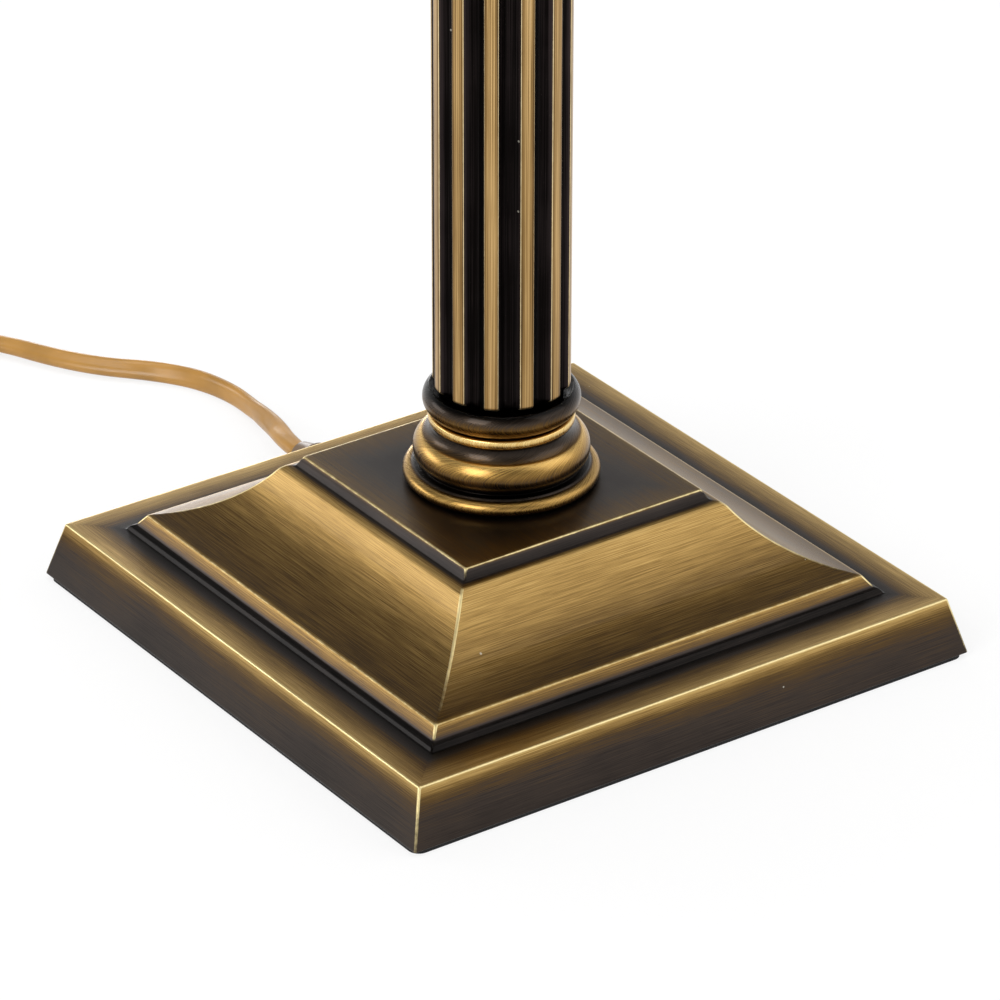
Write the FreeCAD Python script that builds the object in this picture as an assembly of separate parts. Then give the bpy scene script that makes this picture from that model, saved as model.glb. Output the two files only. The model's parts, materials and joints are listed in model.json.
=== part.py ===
import FreeCAD, Part
import math
import os

from FreeCAD import Vector

# Column table lamp, in millimetres.  The origin is on the surface that the lamp
# stands on, on the column's axis.  +Z is up and the cord leaves the +Y face.

# ---- general fits ----
SEAT_GAP = 0.15            # radial play of a piece that is located in another
SLIP_GAP = 0.3             # play round a piece that turns or is lifted off

# ---- square base ----
PLINTH_HALF_TOP = 80.8
PLINTH_FLARE = 4.1         # how far the plinth widens towards its foot
PLINTH_HALF_BOTTOM = PLINTH_HALF_TOP + PLINTH_FLARE
PLINTH_TOP = 16.3
FELT_INSET = 0.7
FELT_HALF = PLINTH_HALF_BOTTOM - FELT_INSET
FELT_THICK = 1.2
FELT_CORNER = 3.0
FOOT_HALF = 69.3           # where the plinth's flat top starts to rise
FOOT_RISE = 1.5
FOOT_HOLLOW = 0.4
LIP_HALF_BOTTOM = 67.6
LIP_HALF_TOP = 65.4
LIP_TOP = 20.9
COVE_HALF_TOP = 39.7
COVE_TOP = 38.6
COVE_DEPTH = 2.9           # how far the cove's arc sinks under its chord
LEDGE_HALF = 37.7
LEDGE_RISE = 0.3
PLATE_HALF = 36.2
PLATE_TOP = 41.7
SHELL_WALL = 4.0
ROOF_WALL = 5.0

# ---- ballast and its fixings ----
BALLAST_THICK = 8.0
BALLAST_GAP = 1.0          # play between the ballast and the plinth's inside
BALLAST_HALF = PLINTH_HALF_TOP - SHELL_WALL - BALLAST_GAP
BALLAST_HOLE = 22.0
BALLAST_BOSS_IN = 25.8     # from the ballast's edge in to its bosses
BALLAST_BOSS_AT = BALLAST_HALF - BALLAST_BOSS_IN
GROOVE_PLAY = 0.5          # between the cord and each side of its groove
BALLAST_BOSS_R = 6.0
BALLAST_SCREW_R = 2.0
BALLAST_SCREW_GRIP = 7.0   # thread length in the boss
SCREW_HEAD_R = 3.8
SCREW_HEAD_HIGH = 2.0

# ---- threaded tube ----
TUBE_R = 4.95
TUBE_BORE_R = 4.0
TUBE_HOLE_R = TUBE_R + 0.2
WASHER_R = 15.0
WASHER_THICK = 1.5
NUT_FLATS = 17.0
NUT_HIGH = 4.0
NUT_THREAD_SHOWN = 1.4     # tube that stands out under the nut

# ---- turned collar, used at the foot and, turned over, at the head ----
COLLAR_HIGH = 18.3
COLLAR_RING_R = 25.1
COLLAR_RING_BEND = 1.85
COLLAR_STEP_R = 22.4
COLLAR_STEP_EASE = 0.5     # the small hollow over the ring
COLLAR_STEP_BEND = 0.15
COLLAR_TORUS_R = 22.5
COLLAR_TORUS_BEND = 4.9
COLLAR_TORUS_MID = 8.3     # height of the torus's widest line
COLLAR_TORUS_LOW = -52.0   # degrees round the torus's section where it starts
COLLAR_TORUS_HIGH = 57.0
COLLAR_STEP_IN = 0.4       # from the torus in to the hollow neck, and from it to the fillet
COLLAR_NECK_R = 18.1
COLLAR_NECK_BEND = 0.55
COLLAR_FILLET_R = 18.5
COLLAR_FILLET_HIGH = 2.1
COLLAR_FILLET_BEND = 0.15
COLLAR_TOP_IN = 0.7        # from the fillet in to the cup's foot

# ---- dished cup, used at the foot and, turned over, at the head ----
CUP_HIGH = 7.0
CUP_FOOT_R = 17.9
CUP_FOOT_EASE = 0.6
CUP_RIM_R = 18.2
CUP_BULGE = 1.95           # of the outside, from its foot to its rim
CUP_RIM_THICK = 0.9        # from the rim in to the dish
CUP_DISH_DROP = 1.1
CUP_DISH_DEPTH = 1.6
CUP_SEAT_DEPTH = 3.6       # from the rim down to the column's seat
CUP_BOSS_HIGH = 3.0

# ---- fluted column ----
COLUMN_R = 17.42
COLUMN_CORE_R = 15.2
COLUMN_BORE_R = 13.3
RIB_COUNT = 12
RIB_WIDE = 3.7
RIB_LENGTH = 236.0
RIB_END_ROUND = 1.0
RIB_SLEEVE_PLAY = 0.01     # round the ribs, of the outline that rounds their ends
RIB_OVER_RIM = 0.6         # from the cup's rim to the ends of the ribs
COLUMN_TURN = 16.2         # degrees from +X to the middle of the first rib

# ---- square plate under the lampholder ----
ABACUS_HALF = 32.5
ABACUS_HALF_FOOT = 29.5
ABACUS_HALF_TOP = 30.7
ABACUS_FOOT_HIGH = 3.6
ABACUS_FOOT_BEND = 0.5
ABACUS_FACE_HIGH = 3.4
ABACUS_HIGH = 9.0

# ---- turned finial under the lampholder ----
FINIAL_HIGH = 16.0
FINIAL_FOOT_R = 17.0
FINIAL_FOOT_HIGH = 2.0
FINIAL_FOOT_BEND = 0.8
FINIAL_STEP_IN = 2.4
FINIAL_STEP_HIGH = 0.3
FINIAL_WAIST_R = 8.4
FINIAL_WAIST_AT = 11.0
FINIAL_WAIST_BEND = 1.6
FINIAL_BEAD_R = 10.1       # where the bead meets the waist, under its bulge
FINIAL_BEAD_BEND = 1.45
FINIAL_BEAD_HIGH = 3.2

# ---- lampholder ----
HOLDER_CAP_HIGH = 16.0
HOLDER_CAP_R = 20.6
HOLDER_CAP_NECK_R = 9.0
HOLDER_CAP_BEND = 3.0
HOLDER_CAP_RIM = 2.0
HOLDER_NECK_WALL = 1.2
HOLDER_INSIDE_BEND = 2.4
HOLDER_WALL = 1.3
HOLDER_TUBE_IN = 8.0       # tube length held by the cap's neck
SKIRT_R = 19.6
SKIRT_WALL = 1.8
SKIRT_HIGH = 31.0
SHOULDER_R = 22.0
SHOULDER_HIGH = 3.0
SKIRT_EASE = 0.6
INSERT_HIGH = 12.0
SCREW_SHELL_R = 14.4
SCREW_SHELL_WALL = 0.6
SCREW_SHELL_HIGH = 20.0
SHELL_COLLAR_HIGH = 4.0
CONTACT_THICK = 0.6
CONTACT_WIDE = 6.0
CONTACT_LIFT = 2.0
TERMINAL_SIZE = 5.0
TERMINAL_HIGH = 4.0
TERMINAL_AT = 10.0

# ---- bulb ----
BULB_CAP_R = 13.1
BULB_CAP_HIGH = 20.0
BULB_TIP_R = 5.0
BULB_TIP_HIGH = 1.2
BULB_TIP_EASE = 0.6
BULB_CONE_HIGH = 3.6
BULB_CAP_EASE = 1.2
BULB_HOUSING_R = 14.6
BULB_HOUSING_HIGH = 16.0
BULB_HOUSING_FOOT = 0.4    # over the metal cap's radius
BULB_HOUSING_BEND = 0.5
BULB_R = 17.5
BULB_WIDEST_AT = 20.0      # above the housing's top
BULB_GLASS_HIGH = 60.0
BULB_TIP_ROUND = 5.0
BULB_TIP_TURN = 35.0       # degrees up the tip's ball where the flame shape joins
BULB_GLASS_WALL = 1.0
BULB_GLASS_INSET = 0.4     # from the housing's rim in to the glass
BULB_LOW_BEND = 0.5
BULB_HIGH_BEND = 3.4

# ---- shade ----
SHADE_BOTTOM_R = 150.0
SHADE_TOP_R = 82.0
SHADE_HIGH = 190.0
SHADE_COVER_THICK = 0.7
SHADE_LINER_THICK = 0.5
SHADE_DROP = 27.0          # from the fitter's plate down to the lower ring
SHADE_WIRE_R = 1.7
FITTER_PLATE_R = 28.0
FITTER_PLATE_THICK = 1.5
FITTER_HOLE_R = SKIRT_R + 0.7
FITTER_ARM_R = 1.6
FITTER_ARMS = 3
FITTER_ARM_IN = 2.5        # from the plate's edge in to the end of an arm
FITTER_ARM_SINK = 0.4      # from the plate down to the end of an arm
FITTER_TURN = 60.0
RING_NUT_R = 27.0
RING_NUT_HIGH = 9.0
RING_NUT_GRIPS = 24
RING_NUT_GRIP_R = 0.9
RING_NUT_GRIP_OUT = 0.3    # from the ring's edge out to the grips' middle

# ---- cord, its gland and its clamp ----
CORD_R = 2.8
BEND_SHARE = 0.45          # of the shorter run at a corner that its bend takes
GLAND_Z = 7.4
GLAND_BARREL_R = 5.0
GLAND_FLANGE_R = 7.0
GLAND_FLANGE_THICK = 1.8
GLAND_FLANGE_BEND = 0.3
GLAND_FLANGE_EDGE_R = 5.7  # of the flange where it stands out of the sloped wall
GLAND_FLANGE_EASE = 0.5
GLAND_TAIL = 8.0
GLAND_TAIL_END_R = 3.4
GLAND_INSIDE = 1.6         # how far the barrel stands into the base
LEAD_R = 2.7
LEAD_BEND = 22.0
CLAMP_IN = 17.8            # from the ballast's edge in to the clamp
CLAMP_AT = BALLAST_HALF - CLAMP_IN
CLAMP_LONG = 30.0
CLAMP_WIDE = 9.0
CLAMP_THICK = 1.8
CLAMP_SCREW_AT = 11.0
CLAMP_SCREW_R = 1.4
CLAMP_HEAD_R = 2.6
CLAMP_HEAD_HIGH = 1.0
CLAMP_SCREW_LONG = 5.0

# The cord's points, from the gland to the in-line switch.
CORD_TO_SWITCH = [
    (0.6, 100.8, 7.3), (3.7, 110.4, 6.2), (6.3, 120.2, 4.5), (8.3, 130.0, 3.0), (8.8, 140.5, 2.8),
    (5.8, 153.5, 2.8), (-2.0, 165.0, 2.8), (-12.0, 175.0, 2.8), (-20.0, 187.5, 2.8),
    (-26.0, 201.0, 2.8), (-36.0, 214.5, 3.2), (-51.0, 223.6, 6.0),
]
# The cord's points, from the switch to the coil.
CORD_TO_COIL = [
    (-156.0, 218.93, 6.0), (-172.0, 211.0, 4.4), (-183.0, 197.0, 3.4),
    (-187.3, 179.5, 3.4),
]
# The cord's points, from the coil to the plug.
CORD_TO_PLUG = [(-187.6, 137.0, 8.4), (-189.0, 123.5, 6.8)]

COIL_X = -150.0
COIL_Y = 150.0
COIL_LIFT = 0.6            # thickness of the tie that passes under the coil
COIL_MID_R = 31.0
COIL_BUILD = 17.0
COIL_HIGH = 11.4
COIL_WAY_R = COIL_MID_R + 6.3   # where the cord enters and leaves the coil
COIL_ENTRY_Y = 6.0
COIL_EXIT_Y = -2.0
COIL_LAYER = 5.7
TIE_WIDE = 6.0
TIE_ANGLE = 305.0

# ---- in-line switch ----
SWITCH_X = -105.0
SWITCH_Y = 222.5
SWITCH_HEADING = 184.0
SWITCH_LONG = 70.0
SWITCH_WIDE = 27.0
SWITCH_HIGH = 17.5
SWITCH_NOSE_WIDE = 14.0
SWITCH_SHOULDER = 24.0     # half length of the full-width part
SWITCH_SPLIT = 6.0
SWITCH_WALL = 2.0
SWITCH_EDGE = 2.4
SWITCH_FOOT_EASE = 0.8
ROCKER_R = 11.6
ROCKER_WIDE = 12.0
ROCKER_PIVOT_Z = 13.0
ROCKER_PROUD = 2.6         # height of the rocker's ends over the cover
ROCKER_TILT = 8.0
ROCKER_DROP = 3.0
ROCKER_DISH = 1.8
ROCKER_PIN_R = 1.5
ROCKER_PIN_LONG = 1.6
PIVOT_EAR = 2.2
PIVOT_PLAY = 0.06
PIVOT_EAR_LONG = 6.0
PIVOT_EAR_DROP = 3.0
BRIDGE_HIGH = 1.0
BRIDGE_WIDE = 4.0
BRIDGE_LONG = 9.0
BRIDGE_AT = 13.5
SWITCH_POST = 5.0
SWITCH_POST_HIGH = 2.0
SWITCH_POST_AT = 15.5
SWITCH_SCREW_AT = 27.0
SWITCH_SCREW_R = 1.3
SWITCH_SCREW_HEAD_R = 2.6
SWITCH_SCREW_HEAD_HIGH = 1.4
SWITCH_SCREW_LONG = 9.0
SWITCH_SCREW_SIDE = 8.0
SWITCH_SCREW_BOSS_R = 2.6

# ---- two-pin plug ----
PLUG_X = -189.0
PLUG_Y = 112.0
PLUG_HEADING = 270.0
PLUG_TAIL = 18.0
PLUG_TAIL_R = 3.9
PLUG_TAIL_END_R = 5.4
PLUG_BODY = 27.0
PLUG_WIDE_BACK = 15.0
PLUG_WIDE_FACE = 26.0
PLUG_THICK = 13.6
PLUG_CORNER = 3.0
PLUG_SHOULDER = 0.45       # share of the body that widens
PIN_R = 2.0
PIN_LONG = 19.0
PIN_IN = 9.0
PIN_APART = 18.6
PIN_APART_TIP = 17.5
PIN_NECK_R = 1.6           # the pin under its sleeve
SLEEVE_R = 1.95
SLEEVE_LONG = 10.0

# ---- heights that follow from the sizes above ----
SEAT_Z = PLINTH_TOP - SHELL_WALL
ROOF_Z = PLATE_TOP - ROOF_WALL
TUBE_Z = ROOF_Z - WASHER_THICK - NUT_HIGH - NUT_THREAD_SHOWN
CUP_Z = PLATE_TOP + COLLAR_HIGH
RIB_Z = CUP_Z + CUP_HIGH + RIB_OVER_RIM
RIB_TOP_Z = RIB_Z + RIB_LENGTH
COLUMN_Z = CUP_Z + CUP_HIGH - CUP_SEAT_DEPTH
COLUMN_TOP_Z = RIB_TOP_Z + RIB_Z - COLUMN_Z
HEAD_CUP_Z = RIB_TOP_Z + RIB_OVER_RIM
HEAD_COLLAR_Z = HEAD_CUP_Z + CUP_HIGH
ABACUS_Z = HEAD_COLLAR_Z + COLLAR_HIGH
FINIAL_Z = ABACUS_Z + ABACUS_HIGH
HOLDER_Z = FINIAL_Z + FINIAL_HIGH
SKIRT_Z = HOLDER_Z + HOLDER_CAP_HIGH
FITTER_Z = SKIRT_Z + SHOULDER_HIGH
INSERT_Z = SKIRT_Z
INSERT_TOP_Z = INSERT_Z + INSERT_HIGH
BULB_Z = INSERT_TOP_Z + CONTACT_LIFT + CONTACT_THICK
BULB_CAP_Z = BULB_Z + BULB_TIP_HIGH + BULB_CONE_HIGH
HOUSING_Z = BULB_CAP_Z + BULB_CAP_HIGH
GLASS_Z = HOUSING_Z + BULB_HOUSING_HIGH
SHADE_Z = FITTER_Z - SHADE_DROP
LOWER_RING_Z = SHADE_Z + SHADE_WIRE_R
RING_NUT_Z = FITTER_Z + FITTER_PLATE_THICK
TUBE_TOP_Z = HOLDER_Z + HOLDER_TUBE_IN

AXIS = Vector(0, 0, 1)
CENTRE = Vector(0, 0, 0)


class Outline:
    """A path in a section plane: r runs out from the axis and z runs up."""

    def __init__(self, r, z):
        self.points = [(r, z)]
        self.middles = []

    def line(self, r, z):
        self.points.append((r, z))
        self.middles.append(None)
        return self

    def arc(self, r, z, rise):
        """An arc to (r, z) whose middle stands `rise` to the left of its chord."""
        r0, z0 = self.points[-1]
        long = math.hypot(r - r0, z - z0)
        left = (-(z - z0) / long, (r - r0) / long)
        middle = ((r0 + r) / 2 + rise * left[0], (z0 + z) / 2 + rise * left[1])
        self.points.append((r, z))
        self.middles.append(middle)
        return self

    def edges(self, side=1):
        """The path's edges in the XZ plane, on the +X side or mirrored."""
        made = []
        for start, middle, end in zip(self.points, self.middles, self.points[1:]):
            a, b = (Vector(side * p[0], 0, p[1]) for p in (start, end))
            if middle is None:
                made.append(Part.LineSegment(a, b).toShape())
            else:
                m = Vector(side * middle[0], 0, middle[1])
                made.append(Part.Arc(a, m, b).toShape())
        return made

    def turned(self):
        """The solid that the closed outline sweeps round the axis."""
        edges = self.edges()
        if self.points[-1] != self.points[0]:
            a, b = self.points[-1], self.points[0]
            edges.append(Part.LineSegment(Vector(a[0], 0, a[1]), Vector(b[0], 0, b[1])).toShape())
        face = Part.Face(Part.Wire(Part.__sortEdges__(edges)))
        return face.revolve(CENTRE, AXIS, 360)

    def squared(self):
        """The mitred solid with this half section on all four sides."""
        edges = self.edges() + self.edges(-1)
        for p in (self.points[0], self.points[-1]):
            if p[0] > 0:
                edges.append(Part.LineSegment(Vector(p[0], 0, p[1]), Vector(-p[0], 0, p[1])).toShape())
        face = Part.Face(Part.Wire(Part.__sortEdges__(edges)))
        reach = 2 * max(p[0] for p in self.points)
        bar = face.extrude(Vector(0, reach, 0))
        bar.translate(Vector(0, -reach / 2, 0))
        cross = bar.copy()
        cross.rotate(CENTRE, AXIS, 90)
        return bar.common(cross)


def cylinder(r, high, z=0.0, x=0.0, y=0.0, axis=AXIS):
    return Part.makeCylinder(r, high, Vector(x, y, z), axis)


def ring(r_out, r_in, high, z):
    return cylinder(r_out, high, z).cut(cylinder(r_in, high, z))


def box(long, wide, high, x, y, z):
    """A box centred on x and y that stands on z."""
    return Part.makeBox(long, wide, high, Vector(x - long / 2, y - wide / 2, z))


def turned_over(shape, z_low, z_high):
    """The same turned piece, upside down, between two heights."""
    flipped = shape.mirror(CENTRE, AXIS)
    flipped.translate(Vector(0, 0, z_high + z_low))
    return flipped


def at_heading(shape, x, y, heading):
    """Move a piece made along +X from the origin to its place on the surface."""
    placed = shape.copy()
    placed.rotate(CENTRE, AXIS, heading)
    placed.translate(Vector(x, y, 0))
    return placed


def point_at(x, y, heading, along, z):
    """The place of a point `along` the local +X axis of a piece put down there."""
    turn = math.radians(heading)
    return (x + along * math.cos(turn), y + along * math.sin(turn), z)


def fused(shapes):
    whole = shapes[0]
    for shape in shapes[1:]:
        whole = whole.fuse(shape)
    return whole.removeSplitter()


# ---------------------------------------------------------------- square base

def felt_pad():
    pad = box(2 * FELT_HALF, 2 * FELT_HALF, FELT_THICK, 0, 0, 0)
    upright = [e for e in pad.Edges if abs(e.tangentAt(e.FirstParameter).z) > 0.9]
    return pad.makeFillet(FELT_CORNER, upright)


def base_outside():
    """The stepped body: plinth, small foot, lip, cove, ledge and top plate."""
    path = Outline(0, FELT_THICK)
    path.line(PLINTH_HALF_BOTTOM, FELT_THICK)
    path.line(PLINTH_HALF_TOP, PLINTH_TOP)
    path.line(FOOT_HALF, PLINTH_TOP)
    path.arc(LIP_HALF_BOTTOM, PLINTH_TOP + FOOT_RISE, -FOOT_HOLLOW)
    path.line(LIP_HALF_TOP, LIP_TOP)
    path.arc(COVE_HALF_TOP, COVE_TOP, COVE_DEPTH)
    path.line(LEDGE_HALF, COVE_TOP + LEDGE_RISE)
    path.line(PLATE_HALF, PLATE_TOP)
    path.line(0, PLATE_TOP)
    return path.squared()


def base_inside():
    """The hollow under the casting, one wall inside its outline."""
    plinth_in = PLINTH_HALF_TOP - SHELL_WALL
    tier_in = LIP_HALF_TOP - SHELL_WALL
    path = Outline(0, FELT_THICK)
    path.line(PLINTH_HALF_BOTTOM - SHELL_WALL, FELT_THICK)
    path.line(plinth_in, SEAT_Z)
    path.line(tier_in, SEAT_Z)
    path.line(tier_in, LIP_TOP - SHELL_WALL)
    path.arc(COVE_HALF_TOP - SHELL_WALL, ROOF_Z, COVE_DEPTH)
    path.line(0, ROOF_Z)
    return path.squared()


def ballast_bosses():
    """Four bosses that carry the ballast's screws, up into the cove's wall."""
    high = COVE_TOP - SEAT_Z
    return [cylinder(BALLAST_BOSS_R, high, SEAT_Z, x, y) for x, y in screw_places()]


def cord_hole():
    """The way through the back wall, from the hollow out past the plinth."""
    return cylinder(GLAND_BARREL_R, PLINTH_HALF_BOTTOM, GLAND_Z, 0, LIP_HALF_TOP, Vector(0, 1, 0))


def base_shell():
    """The casting with its bosses, and the holes for the tube, the cord and the screws."""
    outside = base_outside()
    shell = outside.cut(base_inside())
    for boss in ballast_bosses():
        shell = shell.fuse(boss.common(outside))
    shell = shell.removeSplitter()
    shell = shell.cut(cylinder(TUBE_HOLE_R, PLATE_TOP)).cut(cord_hole())
    for screw in screw_places():
        shell = shell.cut(cylinder(BALLAST_SCREW_R, BALLAST_SCREW_GRIP, SEAT_Z, *screw))
    return shell


def screw_places():
    """Where the ballast's four screws are."""
    d = BALLAST_BOSS_AT
    return [(x, y) for x in (-d, d) for y in (-d, d)]


def ballast_plate():
    """The iron weight, with a groove for the cord and holes for its screws."""
    half = BALLAST_HALF
    low = SEAT_Z - BALLAST_THICK
    plate = box(2 * half, 2 * half, BALLAST_THICK, 0, 0, low)
    plate = plate.cut(cylinder(BALLAST_HOLE, BALLAST_THICK, low))
    groove = box(2 * (CORD_R + GROOVE_PLAY), half, GLAND_Z + CORD_R - low, 0, half / 2, low)
    plate = plate.cut(groove)
    plate = plate.cut(box(2 * GLAND_FLANGE_R, 4 * GLAND_INSIDE, BALLAST_THICK, 0, half, low))
    for x, y in screw_places():
        plate = plate.cut(cylinder(BALLAST_SCREW_R, BALLAST_THICK, low, x, y))
        plate = plate.cut(cylinder(SCREW_HEAD_R + SEAT_GAP, SCREW_HEAD_HIGH, low, x, y))
    for x in (-CLAMP_SCREW_AT, CLAMP_SCREW_AT):
        plate = plate.cut(cylinder(CLAMP_SCREW_R, CLAMP_SCREW_LONG - CLAMP_THICK, low, x, CLAMP_AT))
    return plate


def ballast_screws():
    low = SEAT_Z - BALLAST_THICK
    shank = BALLAST_THICK - SCREW_HEAD_HIGH + BALLAST_SCREW_GRIP
    screws = []
    for x, y in screw_places():
        head = cylinder(SCREW_HEAD_R, SCREW_HEAD_HIGH, low, x, y)
        screws.append(head.fuse(cylinder(BALLAST_SCREW_R, shank, low + SCREW_HEAD_HIGH, x, y)))
    return Part.makeCompound([s.removeSplitter() for s in screws])


# ------------------------------------------------------ tube, nut and collars

def threaded_tube():
    return ring(TUBE_R, TUBE_BORE_R, TUBE_TOP_Z - TUBE_Z, TUBE_Z)


def base_washer():
    return ring(WASHER_R, TUBE_HOLE_R, WASHER_THICK, ROOF_Z - WASHER_THICK)


def base_nut():
    z = ROOF_Z - WASHER_THICK - NUT_HIGH
    r = NUT_FLATS / math.sqrt(3)
    corners = [Vector(r * math.cos(math.radians(60 * k)), r * math.sin(math.radians(60 * k)), z)
               for k in range(7)]
    nut = Part.Face(Part.makePolygon(corners)).extrude(Vector(0, 0, NUT_HIGH))
    return nut.cut(cylinder(TUBE_R, NUT_HIGH, z))


def collar():
    """The turned collar: half-round ring, step, torus, hollow neck and fillet."""
    ring_in = COLLAR_RING_R - COLLAR_RING_BEND
    ring_high = 2 * COLLAR_RING_BEND
    torus_mid = COLLAR_TORUS_R - COLLAR_TORUS_BEND
    low, high = math.radians(COLLAR_TORUS_LOW), math.radians(COLLAR_TORUS_HIGH)
    torus_rise = COLLAR_TORUS_BEND * (1 - math.cos((high - low) / 2))
    fillet_low = COLLAR_HIGH - COLLAR_FILLET_HIGH

    def on_torus(turn):
        r = torus_mid + COLLAR_TORUS_BEND * math.cos(turn)
        return r, COLLAR_TORUS_MID + COLLAR_TORUS_BEND * math.sin(turn)

    path = Outline(TUBE_HOLE_R, 0)
    path.line(ring_in, 0)
    path.arc(ring_in, ring_high, -COLLAR_RING_BEND)
    path.line(COLLAR_STEP_R + COLLAR_STEP_EASE, ring_high)
    path.arc(COLLAR_STEP_R, ring_high + COLLAR_STEP_EASE, COLLAR_STEP_BEND)
    path.line(*on_torus(low))
    path.arc(*on_torus(high), -torus_rise)
    neck_r, neck_z = on_torus(high)
    path.line(neck_r - COLLAR_STEP_IN, neck_z)
    path.arc(COLLAR_NECK_R, fillet_low - COLLAR_STEP_IN, COLLAR_NECK_BEND)
    path.line(COLLAR_FILLET_R, fillet_low)
    path.arc(COLLAR_FILLET_R, COLLAR_HIGH - COLLAR_FILLET_BEND, -COLLAR_FILLET_BEND)
    path.line(COLLAR_FILLET_R - COLLAR_TOP_IN, COLLAR_HIGH)
    path.line(TUBE_HOLE_R, COLLAR_HIGH)
    piece = path.turned()
    piece.translate(Vector(0, 0, PLATE_TOP))
    return piece


def cup():
    """The dished cup: a round rim, a seat for the column and a centring boss."""
    seat = CUP_HIGH - CUP_SEAT_DEPTH
    seat_r = COLUMN_CORE_R + SEAT_GAP
    path = Outline(TUBE_HOLE_R, 0)
    path.line(CUP_FOOT_R - CUP_FOOT_EASE, 0)
    path.line(CUP_FOOT_R, CUP_FOOT_EASE)
    path.arc(CUP_RIM_R, CUP_HIGH, -CUP_BULGE)
    path.line(CUP_RIM_R - CUP_RIM_THICK, CUP_HIGH - CUP_DISH_DROP)
    path.line(seat_r, CUP_HIGH - CUP_DISH_DEPTH)
    path.line(seat_r, seat)
    path.line(COLUMN_BORE_R - SEAT_GAP, seat)
    path.line(COLUMN_BORE_R - SEAT_GAP, seat + CUP_BOSS_HIGH)
    path.line(TUBE_HOLE_R, seat + CUP_BOSS_HIGH)
    piece = path.turned()
    piece.translate(Vector(0, 0, CUP_Z))
    return piece


def flute_section():
    """The ribbed cross-section: flat-topped ribs with a hollow flute between."""
    half = math.asin(RIB_WIDE / 2 / COLUMN_R)
    pitch = 2 * math.pi / RIB_COUNT

    def on(r, turn):
        return Vector(r * math.cos(turn), r * math.sin(turn), 0)

    edges = []
    for k in range(RIB_COUNT):
        mid = math.radians(COLUMN_TURN) + k * pitch
        before, after, following = mid - half, mid + half, mid + pitch - half
        rib = Part.Arc(on(COLUMN_R, before), on(COLUMN_R, mid), on(COLUMN_R, after))
        flute = Part.Arc(on(COLUMN_R, after), on(COLUMN_CORE_R, mid + pitch / 2), on(COLUMN_R, following))
        edges += [rib.toShape(), flute.toShape()]
    return Part.Face(Part.Wire(Part.__sortEdges__(edges)))


def column_tube():
    """The fluted tube, whose ribs stop short of both cups with rounded ends."""
    ribs = flute_section().extrude(Vector(0, 0, RIB_LENGTH))
    ribs.translate(Vector(0, 0, RIB_Z))
    rise = RIB_END_ROUND * (1 - math.sqrt(0.5))
    outside = COLUMN_R + RIB_SLEEVE_PLAY
    path = Outline(0, RIB_Z)
    path.line(outside - RIB_END_ROUND, RIB_Z)
    path.arc(outside, RIB_Z + RIB_END_ROUND, -rise)
    path.line(outside, RIB_TOP_Z - RIB_END_ROUND)
    path.arc(outside - RIB_END_ROUND, RIB_TOP_Z, -rise)
    path.line(0, RIB_TOP_Z)
    ribs = ribs.common(path.turned())
    core = cylinder(COLUMN_CORE_R, COLUMN_TOP_Z - COLUMN_Z, COLUMN_Z)
    bore = cylinder(COLUMN_BORE_R, COLUMN_TOP_Z - COLUMN_Z, COLUMN_Z)
    return ribs.fuse(core).removeSplitter().cut(bore)


def abacus():
    """The small square plate over the column, with sloped edges like the base."""
    path = Outline(0, ABACUS_Z)
    path.line(ABACUS_HALF_FOOT, ABACUS_Z)
    path.arc(ABACUS_HALF, ABACUS_Z + ABACUS_FOOT_HIGH, -ABACUS_FOOT_BEND)
    path.line(ABACUS_HALF, ABACUS_Z + ABACUS_FOOT_HIGH + ABACUS_FACE_HIGH)
    path.line(ABACUS_HALF_TOP, ABACUS_Z + ABACUS_HIGH)
    path.line(0, ABACUS_Z + ABACUS_HIGH)
    return path.squared().cut(cylinder(TUBE_HOLE_R, ABACUS_HIGH, ABACUS_Z))


def finial():
    """The turned piece between the square plate and the lampholder."""
    bead = FINIAL_HIGH - FINIAL_BEAD_HIGH
    path = Outline(TUBE_HOLE_R, 0)
    path.line(FINIAL_FOOT_R, 0)
    path.arc(FINIAL_FOOT_R, FINIAL_FOOT_HIGH, -FINIAL_FOOT_BEND)
    path.line(FINIAL_FOOT_R - FINIAL_STEP_IN, FINIAL_FOOT_HIGH + FINIAL_STEP_HIGH)
    path.arc(FINIAL_WAIST_R, FINIAL_WAIST_AT, FINIAL_WAIST_BEND)
    path.line(FINIAL_WAIST_R, bead)
    path.line(FINIAL_BEAD_R, bead)
    path.arc(FINIAL_BEAD_R, FINIAL_HIGH, -FINIAL_BEAD_BEND)
    path.line(TUBE_HOLE_R, FINIAL_HIGH)
    piece = path.turned()
    piece.translate(Vector(0, 0, FINIAL_Z))
    return piece


# ----------------------------------------------------------------- lampholder

def holder_cap():
    """The domed metal cap that screws on to the tube."""
    inside = HOLDER_CAP_R - HOLDER_WALL
    rim = SKIRT_Z - HOLDER_CAP_RIM
    path = Outline(TUBE_R, HOLDER_Z)
    path.line(HOLDER_CAP_NECK_R, HOLDER_Z)
    path.arc(HOLDER_CAP_R, rim, HOLDER_CAP_BEND)
    path.line(HOLDER_CAP_R, SKIRT_Z)
    path.line(inside, SKIRT_Z)
    path.line(inside, rim)
    path.arc(HOLDER_CAP_NECK_R - HOLDER_NECK_WALL, TUBE_TOP_Z, -HOLDER_INSIDE_BEND)
    path.line(TUBE_R, TUBE_TOP_Z)
    return path.turned()


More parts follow.
